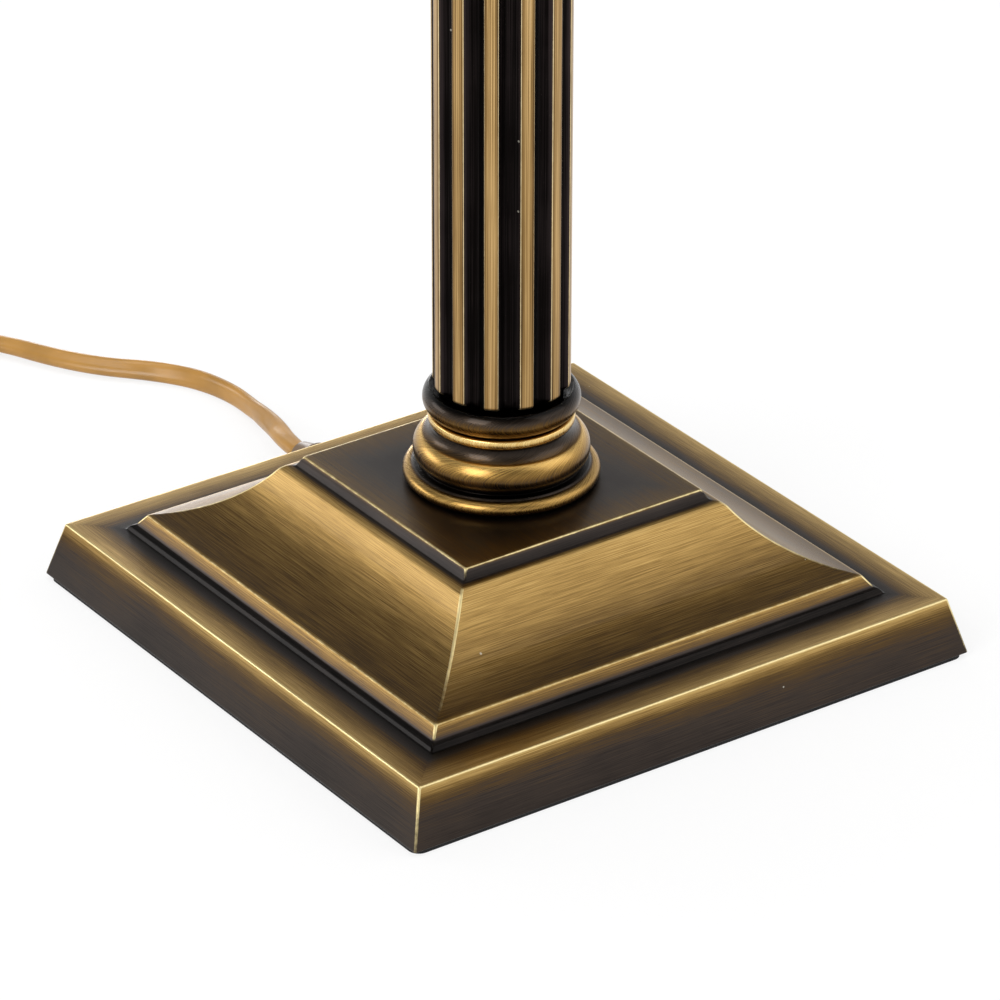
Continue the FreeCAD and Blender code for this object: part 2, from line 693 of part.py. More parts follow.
def holder_skirt():
    """The outer sleeve: a shoulder for the shade and a straight threaded wall."""
    top = SKIRT_Z + SKIRT_HIGH
    path = Outline(SKIRT_R - SKIRT_WALL, SKIRT_Z)
    path.line(SHOULDER_R - SKIRT_EASE, SKIRT_Z)
    path.line(SHOULDER_R, SKIRT_Z + SKIRT_EASE)
    path.line(SHOULDER_R, FITTER_Z)
    path.line(SKIRT_R, FITTER_Z)
    path.line(SKIRT_R, top - SKIRT_EASE)
    path.line(SKIRT_R - SKIRT_EASE, top)
    path.line(SKIRT_R - SKIRT_WALL, top)
    return path.turned()


def holder_insert():
    """The insulating block that carries the contacts and the screw shell."""
    r = SKIRT_R - SKIRT_WALL - SEAT_GAP
    block = cylinder(r, INSERT_HIGH, INSERT_Z)
    block = block.cut(cylinder(TUBE_BORE_R, INSERT_HIGH / 2, INSERT_Z))
    for terminal in terminal_blocks():
        block = block.cut(terminal)
    return block


def terminal_blocks():
    """The two brass blocks that the cord's wires are screwed into."""
    size = TERMINAL_SIZE
    return [box(size, size, TERMINAL_HIGH, x, 0, INSERT_Z) for x in (-TERMINAL_AT, TERMINAL_AT)]


def holder_terminals():
    return Part.makeCompound(terminal_blocks())


def centre_contact():
    """The spring strip in the bottom of the lampholder, bent up under the bulb."""
    wide, thick = CONTACT_WIDE, CONTACT_THICK
    foot = box(wide, wide, thick, -wide, 0, INSERT_TOP_Z)
    rise = box(thick, wide, CONTACT_LIFT + thick, -wide / 2, 0, INSERT_TOP_Z)
    tongue = box(1.5 * wide, wide, thick, wide / 4, 0, INSERT_TOP_Z + CONTACT_LIFT)
    return fused([foot, rise, tongue])


def screw_shell():
    return ring(SCREW_SHELL_R, SCREW_SHELL_R - SCREW_SHELL_WALL, SCREW_SHELL_HIGH, INSERT_TOP_Z)


def shell_collar():
    """The insulating collar that holds the screw shell in the skirt."""
    r = SKIRT_R - SKIRT_WALL - SEAT_GAP
    return ring(r, SCREW_SHELL_R, SHELL_COLLAR_HIGH, INSERT_TOP_Z)


# ----------------------------------------------------------------------- bulb

def bulb_cap():
    """The metal screw cap with its insulated foot and centre contact."""
    path = Outline(0, BULB_Z)
    path.line(BULB_TIP_R - BULB_TIP_EASE, BULB_Z)
    path.line(BULB_TIP_R, BULB_Z + BULB_TIP_HIGH)
    path.line(BULB_CAP_R - BULB_CAP_EASE, BULB_CAP_Z)
    path.line(BULB_CAP_R, BULB_CAP_Z + BULB_CAP_EASE)
    path.line(BULB_CAP_R, HOUSING_Z)
    path.line(0, HOUSING_Z)
    return path.turned()


def bulb_housing():
    path = Outline(0, HOUSING_Z)
    path.line(BULB_CAP_R + BULB_HOUSING_FOOT, HOUSING_Z)
    path.arc(BULB_HOUSING_R, GLASS_Z, BULB_HOUSING_BEND)
    path.line(0, GLASS_Z)
    return path.turned()


def bulb_glass():
    """The candle-shaped glass, thin-walled, closed by the housing."""
    foot_r = BULB_HOUSING_R - BULB_GLASS_INSET
    wide_z = GLASS_Z + BULB_WIDEST_AT
    tip_z = GLASS_Z + BULB_GLASS_HIGH
    turn = math.radians(BULB_TIP_TURN)

    def candle(inset):
        tip_r = BULB_TIP_ROUND - inset
        tip_mid = tip_z - BULB_TIP_ROUND
        path = Outline(0, GLASS_Z)
        path.line(foot_r - inset, GLASS_Z)
        path.arc(BULB_R - inset, wide_z, -BULB_LOW_BEND)
        path.arc(tip_r * math.cos(turn), tip_mid + tip_r * math.sin(turn), -BULB_HIGH_BEND)
        path.arc(0, tip_mid + tip_r, -tip_r * (1 - math.cos((math.pi / 2 - turn) / 2)))
        return path.turned()

    return candle(0).cut(candle(BULB_GLASS_WALL))


# ---------------------------------------------------------------------- shade

def shade_radius(z):
    """The cover's outer radius at a height."""
    share = (z - SHADE_Z) / SHADE_HIGH
    return SHADE_BOTTOM_R + share * (SHADE_TOP_R - SHADE_BOTTOM_R)


def cone_wall(inset, thick):
    """A thin cone wall that lies `inset` inside the cover's outer face."""
    low, high = SHADE_Z, SHADE_Z + SHADE_HIGH
    path = Outline(SHADE_BOTTOM_R - inset, low)
    path.line(SHADE_TOP_R - inset, high)
    path.line(SHADE_TOP_R - inset - thick, high)
    path.line(SHADE_BOTTOM_R - inset - thick, low)
    return path.turned()


def wire_ring_r(z):
    """The middle radius of a wire ring that lies along the liner at a height."""
    slope = math.atan((SHADE_BOTTOM_R - SHADE_TOP_R) / SHADE_HIGH)
    to_wall = SHADE_WIRE_R / math.cos(slope) + SEAT_GAP
    return shade_radius(z) - SHADE_COVER_THICK - SHADE_LINER_THICK - to_wall


def wire_ring(z):
    return Part.makeTorus(wire_ring_r(z), SHADE_WIRE_R, Vector(0, 0, z))


def shade_lower_ring():
    return wire_ring(LOWER_RING_Z)


def shade_upper_ring():
    return wire_ring(SHADE_Z + SHADE_HIGH - SHADE_WIRE_R)


def shade_fitter():
    """The carrier plate and its three arms, which end against the lower wire ring."""
    plate = ring(FITTER_PLATE_R, FITTER_HOLE_R, FITTER_PLATE_THICK, FITTER_Z)
    start = Vector(FITTER_PLATE_R - FITTER_ARM_IN, 0, FITTER_Z - FITTER_ARM_SINK)
    along = Vector(wire_ring_r(LOWER_RING_Z), 0, LOWER_RING_Z) - start
    parts = [plate]
    for k in range(FITTER_ARMS):
        arm = Part.makeCylinder(FITTER_ARM_R, along.Length, start, along)
        arm.rotate(CENTRE, AXIS, FITTER_TURN + 360 * k / FITTER_ARMS)
        parts.append(arm)
    whole = fused(parts).cut(shade_lower_ring())
    return whole.cut(cylinder(FITTER_HOLE_R, 3 * FITTER_PLATE_THICK, FITTER_Z - FITTER_PLATE_THICK))


def shade_ring():
    """The ring that screws down on the fitter, with grips round its edge."""
    body = ring(RING_NUT_R, SKIRT_R + SLIP_GAP, RING_NUT_HIGH, RING_NUT_Z)
    grip = cylinder(RING_NUT_GRIP_R, RING_NUT_HIGH, RING_NUT_Z, RING_NUT_R + RING_NUT_GRIP_OUT)
    for k in range(RING_NUT_GRIPS):
        cut = grip.copy()
        cut.rotate(CENTRE, AXIS, 360 * k / RING_NUT_GRIPS)
        body = body.cut(cut)
    return body


# ------------------------------------------------------ cord and what holds it

def bent_route(points):
    """Straight runs joined by tangent arcs, and each arc's radius."""
    nodes = [Vector(*p) for p in points]
    edges, radii = [], []
    at = nodes[0]
    for before, corner, after in zip(nodes, nodes[1:], nodes[2:]):
        back, ahead = corner - before, after - corner
        turn = back.getAngle(ahead)
        reach = BEND_SHARE * min(back.Length, ahead.Length)
        radii.append(reach / math.tan(turn / 2))
        back.normalize()
        ahead.normalize()
        start = corner - back * reach
        end = corner + ahead * reach
        inward = ahead - back
        inward.normalize()
        rise = radii[-1] / math.cos(turn / 2) - radii[-1]
        edges.append(Part.LineSegment(at, start).toShape())
        edges.append(Part.Arc(start, corner + inward * rise, end).toShape())
        at = end
    edges.append(Part.LineSegment(at, nodes[-1]).toShape())
    return Part.Wire(edges), radii


def cord_tube(name, points):
    """A round tube along a route, with its length and bends reported."""
    wire, radii = bent_route(points)
    first = wire.Edges[0]
    ahead = first.tangentAt(first.FirstParameter)
    profile = Part.Wire(Part.makeCircle(CORD_R, Vector(*points[0]), ahead))
    tube = wire.makePipeShell([profile], True, False)
    share = tube.Volume / (math.pi * CORD_R ** 2 * wire.Length)
    print(name, "length", round(wire.Length, 1), "volume share", round(share, 4),
          "radii", [round(r) for r in radii])
    return tube


def gland_tip():
    return (0.0, PLINTH_HALF_BOTTOM + GLAND_TAIL, GLAND_Z)


def cord_gland():
    """The tapered bush in the back wall that the cord comes out of."""
    wall_in = PLINTH_HALF_TOP - SHELL_WALL - GLAND_INSIDE
    tip = gland_tip()[1]
    flange = PLINTH_HALF_BOTTOM + GLAND_FLANGE_THICK
    path = Outline(CORD_R, wall_in)
    path.line(GLAND_BARREL_R, wall_in)
    path.line(GLAND_BARREL_R, PLINTH_HALF_TOP)
    path.line(GLAND_FLANGE_EDGE_R, PLINTH_HALF_TOP)
    path.line(GLAND_FLANGE_EDGE_R, flange - GLAND_FLANGE_EASE)
    path.arc(GLAND_BARREL_R, flange, -GLAND_FLANGE_BEND)
    path.line(GLAND_TAIL_END_R, tip)
    path.line(CORD_R, tip)
    bush = path.turned()
    bush.rotate(CENTRE, Vector(1, 0, 0), -90)
    bush.translate(Vector(0, 0, GLAND_Z))
    return bush.cut(base_outside().cut(cord_hole()))


def inner_lead():
    """The cord inside the lamp, from the gland up the tube to the lampholder."""
    start = Vector(0, gland_tip()[1], GLAND_Z)
    bend = Vector(0, LEAD_BEND, GLAND_Z)
    foot = Vector(0, 0, GLAND_Z + LEAD_BEND)
    inner = LEAD_BEND * (1 - math.cos(math.pi / 4))
    middle = Vector(0, inner, GLAND_Z + inner)
    wire = Part.Wire([
        Part.LineSegment(start, bend).toShape(),
        Part.Arc(bend, middle, foot).toShape(),
        Part.LineSegment(foot, Vector(0, 0, INSERT_Z + INSERT_HIGH / 2)).toShape(),
    ])
    profile = Part.Wire(Part.makeCircle(LEAD_R, start, Vector(0, -1, 0)))
    return wire.makePipeShell([profile], True, False)


def cord_clamp():
    """The bar under the ballast that grips the cord in its groove."""
    top = SEAT_Z - BALLAST_THICK
    low = top - CLAMP_THICK
    bar = box(CLAMP_LONG, CLAMP_WIDE, CLAMP_THICK, 0, CLAMP_AT, low)
    pad = box(2 * CORD_R, CLAMP_WIDE, GLAND_Z - LEAD_R - top, 0, CLAMP_AT, top)
    clamp = fused([bar, pad])
    for x in (-CLAMP_SCREW_AT, CLAMP_SCREW_AT):
        clamp = clamp.cut(cylinder(CLAMP_SCREW_R, CLAMP_THICK, low, x, CLAMP_AT))
        clamp = clamp.cut(cylinder(CLAMP_HEAD_R + SEAT_GAP, CLAMP_HEAD_HIGH, low, x, CLAMP_AT))
    return clamp


def clamp_screws():
    low = SEAT_Z - BALLAST_THICK - CLAMP_THICK
    made = []
    for x in (-CLAMP_SCREW_AT, CLAMP_SCREW_AT):
        head = cylinder(CLAMP_HEAD_R, CLAMP_HEAD_HIGH, low, x, CLAMP_AT)
        made.append(fused([head, cylinder(CLAMP_SCREW_R, CLAMP_SCREW_LONG, low, x, CLAMP_AT)]))
    return Part.makeCompound(made)


def cord_coil():
    """The outer shape of the neat coil that the spare length is wound into."""
    half = COIL_BUILD / 2
    coil = ring(COIL_MID_R + half, COIL_MID_R - half, COIL_HIGH, COIL_LIFT)
    coil.translate(Vector(COIL_X, COIL_Y, 0))
    return coil


def coil_tie():
    half = COIL_BUILD / 2 + COIL_LIFT
    band = box(2 * half, TIE_WIDE, COIL_HIGH + 2 * COIL_LIFT, COIL_MID_R, 0, 0)
    band = at_heading(band, COIL_X, COIL_Y, TIE_ANGLE)
    return band.cut(cord_coil())


def switch_port(side):
    return point_at(SWITCH_X, SWITCH_Y, SWITCH_HEADING, side * SWITCH_LONG / 2, SWITCH_SPLIT)


def cord_to_switch():
    return cord_tube("cord_to_switch", [gland_tip()] + CORD_TO_SWITCH + [switch_port(-1)])


def cord_to_coil():
    end = (COIL_X - COIL_WAY_R, COIL_Y + COIL_ENTRY_Y, CORD_R + COIL_LIFT)
    tube = cord_tube("cord_to_coil", [switch_port(1)] + CORD_TO_COIL + [end])
    return tube.cut(cord_coil())


def cord_to_plug():
    start = (COIL_X - COIL_WAY_R, COIL_Y + COIL_EXIT_Y, CORD_R + COIL_LIFT + COIL_LAYER)
    tube = cord_tube("cord_to_plug", [start] + CORD_TO_PLUG + [(PLUG_X, PLUG_Y, PLUG_THICK / 2)])
    return tube.cut(cord_coil())


# ------------------------------------------------------------- in-line switch

def switch_plan(inset):
    """The switch's outline from above, pulled in by `inset`."""
    end, shoulder = SWITCH_LONG / 2 - inset, SWITCH_SHOULDER - inset / 2
    nose, side = SWITCH_NOSE_WIDE / 2 - inset, SWITCH_WIDE / 2 - inset
    corners = [(end, -nose), (end, nose), (shoulder, side), (-shoulder, side),
               (-end, nose), (-end, -nose), (-shoulder, -side), (shoulder, -side)]
    vectors = [Vector(x, y, 0) for x, y in corners + corners[:1]]
    return Part.Face(Part.makePolygon(vectors))


def switch_block(inset, low, high):
    block = switch_plan(inset).extrude(Vector(0, 0, high - low))
    block.translate(Vector(0, 0, low))
    return block


def cord_ways():
    """The two holes that the cord enters and leaves the switch by."""
    return cylinder(CORD_R, SWITCH_LONG, SWITCH_SPLIT, -SWITCH_LONG / 2, 0, Vector(1, 0, 0))


def screw_posts(low, high):
    x, y = SWITCH_SCREW_AT, SWITCH_SCREW_SIDE
    return [cylinder(SWITCH_SCREW_BOSS_R, high - low, low, x * s, y * s) for s in (-1, 1)]


def switch_base():
    block = switch_block(0, 0, SWITCH_SPLIT)
    low_rim = [e for e in block.Edges if e.BoundBox.ZMax < 0.01]
    block = block.makeChamfer(SWITCH_FOOT_EASE, low_rim)
    block = block.cut(switch_block(SWITCH_WALL, SWITCH_WALL, SWITCH_SPLIT))
    for post in screw_posts(SWITCH_WALL, SWITCH_SPLIT):
        block = block.fuse(post)
    block = block.removeSplitter().cut(cord_ways())
    for post in switch_screw_solids(SEAT_GAP):
        block = block.cut(post)
    return at_heading(block, SWITCH_X, SWITCH_Y, SWITCH_HEADING)


def switch_cover():
    """The upper shell, with the rocker's mouth and the ears that carry its pin."""
    roof = SWITCH_HIGH - SWITCH_WALL
    block = switch_block(0, SWITCH_SPLIT, SWITCH_HIGH)
    top_rim = [e for e in block.Edges if e.BoundBox.ZMin > SWITCH_HIGH - 0.01]
    block = block.makeFillet(SWITCH_EDGE, top_rim)
    block = block.cut(switch_block(SWITCH_WALL, SWITCH_SPLIT, roof))
    for post in screw_posts(SWITCH_SPLIT, roof):
        block = block.fuse(post)
    ear_z = ROCKER_PIVOT_Z - PIVOT_EAR_DROP
    mouth_wide = ROCKER_WIDE + 2 * SLIP_GAP
    for side in (-1, 1):
        ear_y = side * (mouth_wide + PIVOT_EAR) / 2
        block = block.fuse(box(PIVOT_EAR_LONG, PIVOT_EAR, roof - ear_z, 0, ear_y, ear_z))
    block = block.removeSplitter()
    mouth_z = SWITCH_HIGH - 3 * SWITCH_WALL
    block = block.cut(box(2 * (ROCKER_R + SLIP_GAP), mouth_wide, 4 * SWITCH_WALL, 0, 0, mouth_z))
    pin_long = mouth_wide + 2 * PIVOT_EAR
    pin = cylinder(ROCKER_PIN_R + PIVOT_PLAY, pin_long, ROCKER_PIVOT_Z, 0, -pin_long / 2,
                   Vector(0, 1, 0))
    block = block.cut(pin).cut(cord_ways())
    for post in switch_screw_solids(0):
        block = block.cut(post)
    return at_heading(block, SWITCH_X, SWITCH_Y, SWITCH_HEADING)


def switch_screw_solids(play):
    """The switch's two screws, with play round their heads, before they are put in place."""
    made = []
    for s in (-1, 1):
        x, y = SWITCH_SCREW_AT * s, SWITCH_SCREW_SIDE * s
        head = cylinder(SWITCH_SCREW_HEAD_R + play, SWITCH_SCREW_HEAD_HIGH, 0, x, y)
        made.append(fused([head, cylinder(SWITCH_SCREW_R, SWITCH_SCREW_LONG, 0, x, y)]))
    return made


def switch_screws():
    made = [at_heading(s, SWITCH_X, SWITCH_Y, SWITCH_HEADING) for s in switch_screw_solids(0)]
    return Part.makeCompound(made)


def switch_contacts():
    """Two fixed contacts with their terminals, either side of the rocker."""
    made = []
    for side in (-1, 1):
        strip = box(BRIDGE_LONG, BRIDGE_WIDE, BRIDGE_HIGH, side * BRIDGE_AT, 0, SWITCH_WALL)
        post = box(SWITCH_POST, BRIDGE_WIDE, SWITCH_POST_HIGH, side * SWITCH_POST_AT, 0, SWITCH_WALL)
        made.append(fused([strip, post.cut(cord_ways())]))
    return Part.makeCompound([at_heading(m, SWITCH_X, SWITCH_Y, SWITCH_HEADING) for m in made])


def switch_rocker():
    """The dished key, round at both ends about its pivot, tipped to one side."""
    top = SWITCH_HIGH + ROCKER_PROUD - ROCKER_PIVOT_Z
    reach = math.sqrt(ROCKER_R ** 2 - top ** 2)
    foot = math.sqrt(ROCKER_R ** 2 - ROCKER_DROP ** 2)

    def at(x, z):
        return Vector(x, 0, z)

    right = Part.Arc(at(foot, -ROCKER_DROP), at(ROCKER_R, 0), at(reach, top))
    dish = Part.Arc(at(reach, top), at(0, top - ROCKER_DISH), at(-reach, top))
    left = Part.Arc(at(-reach, top), at(-ROCKER_R, 0), at(-foot, -ROCKER_DROP))
    under = Part.LineSegment(at(-foot, -ROCKER_DROP), at(foot, -ROCKER_DROP))
    face = Part.Face(Part.Wire([edge.toShape() for edge in (right, dish, left, under)]))
    key = face.extrude(Vector(0, ROCKER_WIDE, 0))
    key.translate(Vector(0, -ROCKER_WIDE / 2, 0))
    reach_y = ROCKER_WIDE / 2 + SLIP_GAP + ROCKER_PIN_LONG
    pin = cylinder(ROCKER_PIN_R, 2 * reach_y, 0, 0, -reach_y, Vector(0, 1, 0))
    key = key.fuse(pin).removeSplitter()
    key.rotate(CENTRE, Vector(0, 1, 0), ROCKER_TILT)
    key.translate(Vector(0, 0, ROCKER_PIVOT_Z))
    return at_heading(key, SWITCH_X, SWITCH_Y, SWITCH_HEADING)


# ---------------------------------------------------------------- two-pin plug

def plug_pin(side, r, start, end):
    """A pin, leaning in towards its tip, between two distances past the face."""
    face_x = PLUG_TAIL + PLUG_BODY
    lean = (PIN_APART_TIP - PIN_APART) / 2 / PIN_LONG
    a = Vector(face_x + start, side * (PIN_APART / 2 + lean * start), PLUG_THICK / 2)
    b = Vector(face_x + end, side * (PIN_APART / 2 + lean * end), PLUG_THICK / 2)
    return Part.makeCylinder(r, (b - a).Length, a, b - a)


def plug_body():
    """The flat moulded body with its tapered, ribbed cord tail."""
    face_x = PLUG_TAIL + PLUG_BODY
    back, front = PLUG_WIDE_BACK / 2, PLUG_WIDE_FACE / 2
    mid_x = PLUG_TAIL + PLUG_SHOULDER * PLUG_BODY
    corners = [(PLUG_TAIL, -back), (mid_x, -front), (face_x, -front),
               (face_x, front), (mid_x, front), (PLUG_TAIL, back)]
    vectors = [Vector(x, y, 0) for x, y in corners + corners[:1]]
    block = Part.Face(Part.makePolygon(vectors)).extrude(Vector(0, 0, PLUG_THICK))
    long_edges = [e for e in block.Edges
                  if abs(e.tangentAt(e.FirstParameter).z) < 0.1 and e.BoundBox.XMin < face_x - 0.1]
    block = block.makeFillet(PLUG_CORNER, long_edges)
    middle = Vector(0, 0, PLUG_THICK / 2)
    tail = Part.makeCone(PLUG_TAIL_R, PLUG_TAIL_END_R, PLUG_TAIL, middle, Vector(1, 0, 0))
    block = block.fuse(tail).removeSplitter()
    for side in (-1, 1):
        block = block.cut(plug_pin(side, PIN_R, -PIN_IN, PIN_IN))
    return at_heading(block, PLUG_X, PLUG_Y, PLUG_HEADING)


def sleeve_space(side, r):
    """The tube round a pin's root, from the plug's face, out to a radius."""
    space = plug_pin(side, r, -1, SLEEVE_LONG).cut(plug_pin(side, PIN_NECK_R, -1, SLEEVE_LONG))
    return space.cut(box(2, PLUG_WIDE_FACE, PLUG_THICK, PLUG_TAIL + PLUG_BODY - 1, 0, 0))


def plug_pins():
    made = []
    for side in (-1, 1):
        pin = plug_pin(side, PIN_R, -PIN_IN, PIN_LONG).cut(sleeve_space(side, PIN_R + 1))
        made.append(at_heading(pin, PLUG_X, PLUG_Y, PLUG_HEADING))
    return Part.makeCompound(made)


def pin_sleeves():
    made = []
    for side in (-1, 1):
        made.append(at_heading(sleeve_space(side, SLEEVE_R), PLUG_X, PLUG_Y, PLUG_HEADING))
    return Part.makeCompound(made)


PIECES = {
    "felt_pad": felt_pad,
    "base_shell": base_shell,
    "ballast_plate": ballast_plate,
    "ballast_screws": ballast_screws,
    "base_washer": base_washer,
    "base_nut": base_nut,
    "threaded_tube": threaded_tube,
    "lower_collar": collar,
    "lower_cup": cup,
    "column_tube": column_tube,
    "upper_cup": lambda: turned_over(cup(), CUP_Z, HEAD_CUP_Z + CUP_HIGH),
    "upper_collar": lambda: turned_over(collar(), PLATE_TOP, HEAD_COLLAR_Z + COLLAR_HIGH),
    "abacus": abacus,
    "neck_finial": finial,
    "holder_cap": holder_cap,
    "holder_skirt": holder_skirt,
    "holder_insert": holder_insert,
    "holder_terminals": holder_terminals,
    "centre_contact": centre_contact,
    "screw_shell": screw_shell,
    "shell_collar": shell_collar,
    "bulb_cap": bulb_cap,
    "bulb_housing": bulb_housing,
    "bulb_glass": bulb_glass,
    "shade_cover": lambda: cone_wall(0, SHADE_COVER_THICK),
    "shade_liner": lambda: cone_wall(SHADE_COVER_THICK, SHADE_LINER_THICK),
    "shade_fitter": shade_fitter,
    "shade_lower_ring": shade_lower_ring,
    "shade_upper_ring": shade_upper_ring,
    "shade_ring": shade_ring,
    "cord_gland": cord_gland,
    "inner_lead": inner_lead,
    "cord_clamp": cord_clamp,
    "clamp_screws": clamp_screws,
    "cord_to_switch": cord_to_switch,
    "cord_to_coil": cord_to_coil,
    "cord_to_plug": cord_to_plug,
    "cord_coil": cord_coil,
    "coil_tie": coil_tie,
    "switch_base": switch_base,
    "switch_cover": switch_cover,
    "switch_screws": switch_screws,
    "switch_contacts": switch_contacts,
    "switch_rocker": switch_rocker,
    "plug_body": plug_body,
    "plug_pins": plug_pins,
    "pin_sleeves": pin_sleeves,
}


def main():
    os.makedirs("parts", exist_ok=True)
    for name, make in PIECES.items():
        shape = make()
        if not shape.isValid():
            print("not valid:", name)
        print(name, len(shape.Solids), round(shape.Volume / 1000, 2), "cm3")
        shape.exportStep("parts/" + name + ".step")


main()
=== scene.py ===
"""A column table lamp in brushed antique brass, dressed round its fixed frame.

Everything is in metres and +Z is up, but the sizes of outlines and of the pieces made from
them are in millimetres.  The origin is on the column's axis, on the surface that the lamp
stands on, and the cord leaves the base on its +Y side.
"""

import json
import logging
import math
from collections.abc import Iterator, Sequence
from dataclasses import dataclass, field
from enum import Enum

import bpy
import numpy as np
from mathutils import Matrix, Vector


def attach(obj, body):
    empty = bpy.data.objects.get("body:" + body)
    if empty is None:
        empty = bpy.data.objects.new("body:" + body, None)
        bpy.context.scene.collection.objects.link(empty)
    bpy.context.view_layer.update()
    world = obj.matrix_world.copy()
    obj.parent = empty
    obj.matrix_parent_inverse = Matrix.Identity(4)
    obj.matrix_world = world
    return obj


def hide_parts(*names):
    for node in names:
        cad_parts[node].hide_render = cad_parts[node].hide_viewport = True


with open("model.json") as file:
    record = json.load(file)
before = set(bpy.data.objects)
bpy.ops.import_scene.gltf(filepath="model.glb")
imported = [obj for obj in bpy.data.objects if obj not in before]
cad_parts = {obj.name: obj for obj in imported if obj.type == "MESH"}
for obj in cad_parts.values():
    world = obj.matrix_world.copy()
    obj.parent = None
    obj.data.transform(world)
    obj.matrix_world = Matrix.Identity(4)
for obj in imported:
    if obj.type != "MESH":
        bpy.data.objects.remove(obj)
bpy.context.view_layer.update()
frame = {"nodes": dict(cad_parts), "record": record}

MM = 0.001
TUBE_HOLE = 5.15
log = logging.getLogger("column lamp")

Pair = tuple[float, float]
Point = tuple[float, float, float]
Corner = tuple[float, float, float, float]
Colour = tuple[float, float, float]
Quad = tuple[int, int, int, int]
Piece = bpy.types.Object
Material = bpy.types.Material
Socket = bpy.types.NodeSocket
WHITE = (1.0, 1.0, 1.0)


# ------------------------------------------------------------------ outlines and meshes

@dataclass(frozen=True)
class Run:
    """One run of an outline, straight or along an arc, as the point where it ends.

    Attributes:
        r: Distance from the axis, or half the width of a square.
        z: Height.
        tone: How brightly the patina is rubbed there, with painted shade and light in it, from 0
            to 1.
        wear: How far a sharp bend there is rubbed through to bright metal.
        rise: How far the run's middle stands to the left of its chord.
    """

    r: float
    z: float
    tone: float
    wear: float = 0.0
    rise: float = 0.0


@dataclass(frozen=True)
class Station:
    """One place on a softened outline, in metres.

    Attributes:
        r: Distance from the axis, or half the width of a square.
        z: Height.
        along: Distance travelled along the outline.
        tone: How brightly the patina is rubbed there, from 0 to 1.
        edge: How sharply the outline bends outwards there, from 0 to 1.
        outward: The radial share of the surface's outward direction.
    """

    r: float
    z: float
    # tone: How brightly the patina is rubbed there, with painted shade and light in it, from 0 to
    # 1.
    along: float
    tone: float
    edge: float
    outward: float


